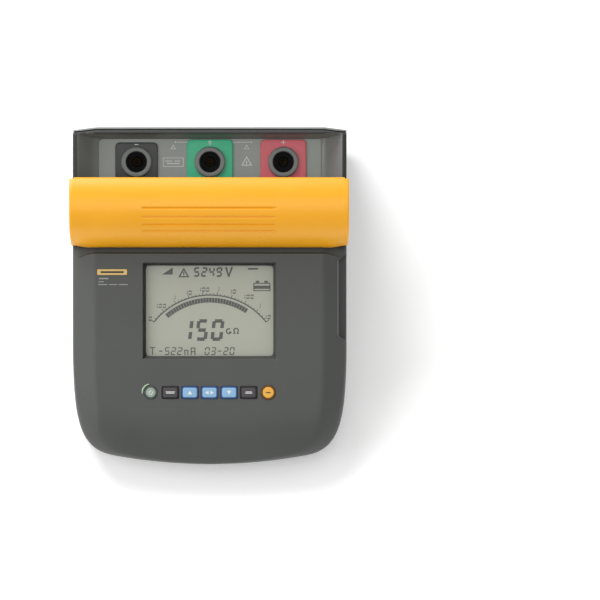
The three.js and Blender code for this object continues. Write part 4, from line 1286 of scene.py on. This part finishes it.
def digits(text, u, v, width, height, pitch, line, lean=0.12):
    """Seven-segment numbers from u to the right, on the base line v."""
    shapes = []
    for place, sign in enumerate(text):
        left = u + place * pitch
        a, b, half = width / 2, height / 2, height / 4
        spots = {
            "a": (a, height - line / 2, 0), "d": (a, line / 2, 0), "g": (a, b, 0),
            "f": (line / 2, b + half, 1), "b": (width - line / 2, b + half, 1),
            "e": (line / 2, b - half, 1), "c": (width - line / 2, b - half, 1),
        }
        for key in SEGMENTS[sign]:
            x, y, upright = spots[key]
            size = (line, height / 2 - line * 1.15) if upright else (width - line * 1.3, line)
            shift = lean * (y - b)
            shapes += bar(left + x + shift, v + y, *size, lean)
    return shapes


# ---- Display: everything from the middle of the display ----
UPPER_BARS = [
    (-22.4, 32.6, 1.1, 2.8), (-22.4, 30.0, 1.1, 1.0), (37.7, 36.4, 9.0, 1.4), (45.4, 20.4, 13.4, 2.8),
    (41.6, 25.2, 3.0, 1.7), (49.0, 25.2, 3.0, 1.7), (17.9, -18.6, 2.2, 1.1), (21.5, -19.6, 1.9, 1.1),
    (24.5, -19.6, 1.9, 1.1),
]
LOWER_BARS = [
    (-49.6, -32.0, 4.6, 1.0), (-49.6, -35.4, 1.0, 6.0), (-21.6, -36.4, 1.0, 4.2),
    (-18.9, -36.4, 1.0, 4.2), (-20.2, -34.4, 3.4, 1.0), (-16.0, -35.4, 1.0, 6.4),
    (-12.8, -35.4, 1.0, 6.4), (-14.4, -32.4, 3.4, 1.0), (-14.4, -35.6, 3.4, 1.0),
]
SCALE_LABELS = [
    ("0", -51.7, -7.1), ("100", -43.2, 4.0), ("1", -30.9, 11.5), ("10", -18.9, 15.5),
    ("100", -5.7, 18.2), ("1", 7.2, 18.6), ("10", 19.5, 16.4), ("100", 32.8, 12.0),
    ("1", 43.0, 4.0), ("10", 49.6, -5.7),
]


class OBJECT_OT_tester_display(bpy.types.Operator):
    """Display: the segments of its readings, a bar-graph arc and a battery sign, under the window"""

    bl_idname = "object.tester_display"
    bl_label = "Display"

    def execute(self, context):
        (u, v), _, _, top = face_plan("lcd_panel")
        # Signal wedge, warning triangle, voltage reading and its unit, and the battery sign.
        marks = [[(u - 41.2, v + 31.4), (u - 32.0, v + 31.4), (u - 32.0, v + 37.6)]]
        marks += triangle_frame(u - 22.4, v + 31.8, 9.8, 1.1)
        marks += digits("5249", u - 13.8, v + 29.4, 5.2, 8.4, 6.5, 1.45)
        marks += [
            [(u + a, v + 37.8), (u + a + 1.8, v + 37.8), (u + 17.2, v + 29.4), (u + 15.9, v + 29.4)]
            for a in (13.4, 18.6)
        ]
        marks += frame_bars(u + 45.4, v + 20.6, 14.0, 6.4, 0.8) + bars(UPPER_BARS, u, v)
        marks += self.scale(u + 0.4, v - 48.6, 62.2)
        for text, a, b in SCALE_LABELS:
            width = 3.1 * len(text) - 0.8
            marks += digits(text, u + a - width / 2, v + b - 1.8, 2.6, 3.9, 3.5, 0.85, 0.1)
        # Main reading, and its unit from two open rings with bars.
        marks += digits("150", u - 25.2, v - 26.2, 10.4, 18.8, 13.4, 3.0)
        marks += arc_band(u + 16.6, v - 17.8, 2.1, 1.1, 60, 330, 12)
        marks += arc_band(u + 23.0, v - 17.2, 1.9, 1.1, -55, 235, 14)
        piece = plates("display_segments", marks, top + 0.06, top + 0.12, MATERIALS["segments"])
        finish_piece(piece)
        # Lower line, whose segments are driven more weakly.
        faint = digits("-522", u - 44.6, v - 38.6, 4.4, 7.0, 5.5, 1.0)
        faint += digits("03-20", u - 4.2, v - 38.6, 4.2, 7.0, 5.4, 1.0) + bars(LOWER_BARS, u, v)
        piece = plates(
            "display_lower_segments", faint, top + 0.06, top + 0.12, MATERIALS["faint_segments"]
        )
        finish_piece(piece)
        return {"FINISHED"}

    @staticmethod
    def scale(u, v, radius):
        """A thin arc with long and short ticks, and the bar graph below it as short blocks."""
        start, end, block = 38.5, 141.5, 2.48
        shapes = arc_band(u, v, radius, 1.0, start, end, 60)
        for k, angle in enumerate(np.radians(np.linspace(start, end, 37))):
            c, s = math.cos(angle), math.sin(angle)
            far = radius + (3.0 if k % 4 == 0 else 1.6)
            tick = [(radius, -0.3), (far, -0.3), (far, 0.3), (radius, 0.3)]
            shapes.append([(u + x * c - y * s, v + x * s + y * c) for x, y in tick])
        for k in range(30):
            near = 56.5 + k * block
            shapes += arc_band(u, v, radius - 4.4, 4.2, near, near + block - 0.28, 1)
        return shapes


# ---- Keys ----
SKIRT = 0.6  # how far a key's skirt stands out past its cap in the frame
ROUND_INSET, SQUARE_INSET = 1.9, 1.3  # how much smaller than that cap its coloured top is
SLOTS = {part["node"]: part["material_slot"] for part in frame["record"]["subparts"]}


class OBJECT_OT_tester_keys(bpy.types.Operator):
    """Keys: domed silicone caps with printed signs, each riding on its own body"""

    bl_idname = "object.tester_keys"
    bl_label = "Keys"

    def execute(self, context):
        for name in KEY_NAMES:
            low, high = key_top_box(name)
            bottom = face_box(name)[0][2]
            u, v = (low + high)[:2] / 2
            width, height = (high - low)[:2]
            slot = SLOTS[name]
            radius = width / 2 - 0.01 if name in ROUND_KEYS else 1.3
            inset = ROUND_INSET if name in ROUND_KEYS else SQUARE_INSET
            cap = slab(
                f"cap_{name}", u, v, width - inset, height - inset, radius - inset / 2, bottom,
                high[2] - 0.15, 0.6, MATERIALS[slot], dome=0.13,
            )
            finish_piece(cap, f"{name}_cap", nodes=[name])
            # The skirt's darker colour is painted shade in the gap round the cap.
            skirt = slab(
                f"skirt_{name}", u, v, width + 2 * SKIRT, height + 2 * SKIRT, radius + SKIRT, bottom,
                0.3, 0.5, MATERIALS[f"skirt_{slot}"],
            )
            finish_piece(skirt, f"{name}_cap")
            self.sign(name, u, v, high[2])
        return {"FINISHED"}

    @staticmethod
    def sign(name, u, v, top):
        """The printed sign of one key, lying on its dome."""
        signs = {
            "key_power": arc_band(u, v, 1.6, 0.45, -235, 55, 18) + bar(u, v + 1.2, 0.45, 1.8),
            "key_function": bar(u, v + 0.6, 8.0, 0.6) + bar(u, v - 0.5, 7.0, 0.6),
            "key_up": triangle(u, v, 4.0, 3.2),
            "key_left_right": triangle(u - 2.3, v, 3.4, 2.9, 90) + triangle(u + 2.3, v, 3.4, 2.9, -90),
            "key_down": triangle(u, v, 4.0, 3.2, 180),
            "key_info": bar(u, v + 0.6, 5.2, 0.6) + bar(u, v - 0.5, 6.2, 0.6),
            "key_test": bar(u, v, 4.0, 0.9),
        }
        ink = "ink_dark" if name == "key_test" else "ink_white"
        mark = plates(f"sign_{name}", signs[name], top - 0.1, top, MATERIALS[ink])
        finish_piece(mark, f"{name}_cap")


# ---- Small pieces ----
class OBJECT_OT_tester_fittings(bpy.types.Operator):
    """Fittings: screws with hexagon sockets, feet, name plate, the power key's pale crescent and mains inlet"""

    bl_idname = "object.tester_fittings"
    bl_label = "Fittings"

    def execute(self, context):
        for k in range(1, 5):
            self.foot(k)
            self.handle_screw(k)
        self.plate()
        self.guard()
        self.inlet()
        return {"FINISHED"}

    @staticmethod
    def foot(k):
        """A turned rubber foot with a shallow hollow under it and rounded rims."""
        low, high = case_box(f"foot_{k}")
        x, y = (low + high)[:2] / 2
        radius = (high - low)[0] / 2
        profile = [(0, 0.5), (4.6, 0.5), (5.0, 0.05), (radius - 1.4, 0.0), (radius - 0.6, 0.3)]
        profile += [(radius, 1.3), (radius, high[2] - 0.3), (radius - 0.4, high[2]), (0, high[2])]
        piece = lathe(f"rubber_foot_{k}", profile, on_base(x, y), MATERIALS["foot_rubber"], 56)
        finish_piece(piece, nodes=[f"foot_{k}"])

    @staticmethod
    def handle_screw(k):
        """Cap screw along u: a rounded head, and a hexagonal socket as a six-sided inner ring."""
        node = f"handle_screw_{k}"
        low, high = face_box(node)
        v, w = (low + high)[1:] / 2
        side = 1 if low[0] > 0 else -1
        outer, deep = max(abs(low[0]), abs(high[0])), min(abs(low[0]), abs(high[0]))
        head = (high - low)[1] / 2
        angle = np.linspace(0, 2 * math.pi, 48, endpoint=False)
        hexagon = 1.9 / np.cos((angle + math.pi / 6) % (math.pi / 3) - math.pi / 6)
        steps = [
            (deep, 1e-3), (deep, 1.5), (outer - 1.8, 1.5), (outer - 1.8, head), (outer - 0.6, head),
            (outer - 0.08, head - 0.5), (outer, hexagon + 0.25), (outer - 0.2, hexagon),
            (outer - 1.3, hexagon * 0.98), (outer - 1.5, 1e-3),
        ]
        rings = np.stack([
            to_case(side * place, v + reach * np.cos(angle), w + reach * np.sin(angle))
            for place, reach in steps
        ])
        piece = ring_solid(f"cap_screw_{k}", rings, MATERIALS["screw_steel"], 35)
        finish_piece(piece, nodes=[node])

    @staticmethod
    def plate():
        """A blank plate with one dark stripe, and short faded lines under it."""
        (u, v), (width, height), low, high = face_plan("badge_plate")
        piece = slab(
            "name_plate", u, v, width, height, 0.6, low, high, 0.25, MATERIALS["badge_gold"]
        )
        finish_piece(piece, nodes=["badge_plate"])
        marks = bars([
            (-7.4, -5.6, 8, 1.1), (-9.6, -8.4, 4.5, 0.7), (-8.2, -10.8, 8, 0.7), (0.8, -10.8, 7, 0.7),
            (9.6, -10.8, 8, 0.7),
        ], u, v)
        low_marks = plates("plate_lines", marks, -0.02, 0.04, MATERIALS["ink_faint"])
        finish_piece(low_marks)
        stripe = bar(u, v, width - 6, 1.6)
        line = plates("plate_stripe", stripe, high - 0.02, high + 0.04, MATERIALS["ink_dark"])
        finish_piece(line)

    @staticmethod
    def guard():
        """Pale crescent at the upper left of the power key's raised ring: a painted highlight where the ring
        catches the light, as an arc band with tapered ends and a rounded top.
        """
        u, v = sum(key_top_box("key_power"))[:2] / 2
        top = face_plan("power_key_guard")[3]
        angle = np.radians(np.linspace(100, 190, 40))
        share = np.sin(np.linspace(0.12, math.pi - 0.12, 40)) ** 0.5
        around = np.linspace(0, 2 * math.pi, 16, endpoint=False)
        reach = 0.75 * share[:, None]
        radius = 7.4 + reach * np.cos(around)
        height = top - 0.6 + 0.6 * np.sin(around)
        rings = to_case(
            u + radius * np.cos(angle)[:, None], v + radius * np.sin(angle)[:, None], height + 0 * radius
        )
        # The pale arc is a painted highlight, not a lamp.
        piece = ring_solid("key_light", rings, MATERIALS["guard_green"], 50)
        finish_piece(piece, nodes=["power_key_guard"])

    @staticmethod
    def inlet():
        """Three blade contacts that show inside the mains inlet."""
        low, high = face_box("mains_inlet")
        u, w = (low + high)[0] / 2, (low + high)[2] / 2
        floor, mouth = low[1] + 3, high[1]
        for k, (du, dw) in enumerate([(-7, -2), (7, -2), (0, 3)]):
            x, y = rounded_loop(u + du, w + dw, 2.4, 4.4, 0.6, 5)
            rings = np.stack([to_case(x, np.full_like(x, s), y) for s in (floor, mouth - 11.6)])
            piece = ring_solid(f"blade_{k + 1}", rings, MATERIALS["screw_steel"], 35)
            finish_piece(piece)


# ---- Stage ----
FLOOR_HALF = 6.0  # metres
LIGHTS = [
    ("key_light", (-0.9, 1.5, 1.9), 1.4, 47.0),
    ("fill_light", (-1.6, -0.4, 1.3), 1.4, 11.0),
    ("well_light", tuple(to_case(20.0, 240.0, 1500.0)), 0.7, 2.5),
]
CAMERA_AWAY, VIEW_WIDTH, SENSOR = 6.0, 0.5204, 36.0  # metres, metres, millimetres
CAMERA_AIM = (78.5, 143.3, 0.0)  # u, v and w
CAMERA_LEAN = math.radians(1.5)  # from square to the face, over its far end


class OBJECT_OT_tester_stage(bpy.types.Operator):
    """Plain pale floor, soft lights and a camera almost square to the face"""

    bl_idname = "object.tester_stage"
    bl_label = "Stage"

    def execute(self, context):
        scene = context.scene
        scene.view_settings.view_transform = "Standard"
        floor_mesh = bpy.data.meshes.new("floor")
        corners = [(x * FLOOR_HALF, y * FLOOR_HALF, 0) for x, y in ((-1, -1), (1, -1), (1, 1), (-1, 1))]
        floor_mesh.from_pydata(corners, [], [(0, 1, 2, 3)])
        floor = bpy.data.objects.new("floor", floor_mesh)
        scene.collection.objects.link(floor)
        material, tree, shader, place = new_material(
            "Light table, white", (0.93, 0.93, 0.93), 0.9,
            Emission_Color=(1, 1, 1, 1), Emission_Strength=0.28,
        )
        vary_roughness(tree, shader, grain(tree, place, 40.0), 0.85, 0.95)
        floor_mesh.materials.append(material)
        world = bpy.data.worlds.new("Studio")
        world.use_nodes = True
        world.node_tree.nodes["Background"].inputs["Color"].default_value = (1, 1, 1, 1)
        world.node_tree.nodes["Background"].inputs["Strength"].default_value = 0.5
        scene.world = world
        for name, place, size, power in LIGHTS:
            self.light(name, place, size, power)
        self.camera(scene)
        return {"FINISHED"}

    @staticmethod
    def light(name, place, size, power):
        """A square area light that looks at the middle of the tester."""
        data = bpy.data.lights.new(name, "AREA")
        data.size = size
        data.energy = power
        made = bpy.data.objects.new(name, data)
        bpy.context.scene.collection.objects.link(made)
        made.location = place
        made.rotation_euler = (Vector((0, 0, 0.1)) - Vector(place)).to_track_quat("-Z", "Y").to_euler()

    @staticmethod
    def camera(scene):
        """Long lens, almost square to the face but leaning a little over its far end, with the
        tester left of the middle of the picture."""
        data = bpy.data.cameras.new("camera")
        data.sensor_width = SENSOR
        data.lens = SENSOR * CAMERA_AWAY / VIEW_WIDTH
        made = bpy.data.objects.new("camera", data)
        scene.collection.objects.link(made)
        lean = TILT - CAMERA_LEAN
        back = Vector((0, -math.sin(lean), math.cos(lean)))
        made.location = Vector(to_case(*CAMERA_AIM)) + back * CAMERA_AWAY
        made.rotation_euler = (-back).to_track_quat("-Z", "Y").to_euler()
        data.clip_start, data.clip_end = 0.1, 40
        scene.camera = made


OPERATORS = [
    OBJECT_OT_tester_stage, OBJECT_OT_tester_cover, OBJECT_OT_tester_rear, OBJECT_OT_tester_handle,
    OBJECT_OT_tester_sockets, OBJECT_OT_tester_display, OBJECT_OT_tester_keys, OBJECT_OT_tester_fittings,
]


class VIEW3D_PT_tester(bpy.types.Panel):
    """Lists the tester's pieces, colours and sizes"""

    bl_label = "Insulation tester"
    bl_idname = "VIEW3D_PT_tester"
    bl_space_type = "VIEW_3D"
    bl_region_type = "UI"
    bl_category = "Tester"

    def draw(self, context):
        for operator in OPERATORS:
            self.layout.operator(operator.bl_idname)
        for group in (context.scene.tester_colours, context.scene.tester_sizes):
            for name in group.__annotations__:
                self.layout.prop(group, name)


CLASSES = [TesterColours, TesterSizes, *OPERATORS, VIEW3D_PT_tester]


def register():
    """Registers the classes and puts the two groups of properties on the scene."""
    for made in CLASSES:
        bpy.utils.register_class(made)
    bpy.types.Scene.tester_colours = PointerProperty(type=TesterColours)
    bpy.types.Scene.tester_sizes = PointerProperty(type=TesterSizes)


def unregister():
    """Takes back what register did."""
    del bpy.types.Scene.tester_sizes
    del bpy.types.Scene.tester_colours
    for made in reversed(CLASSES):
        bpy.utils.unregister_class(made)


def main():
    """Registers the classes, makes the materials, gives the CAD nodes their finishes and runs every operator in
    order.
    """
    register()
    make_materials()
    finish_cad_nodes()
    for operator in OPERATORS:
        group, name = operator.bl_idname.split(".")
        getattr(getattr(bpy.ops, group), name)()


if __name__ == "__main__":
    main()
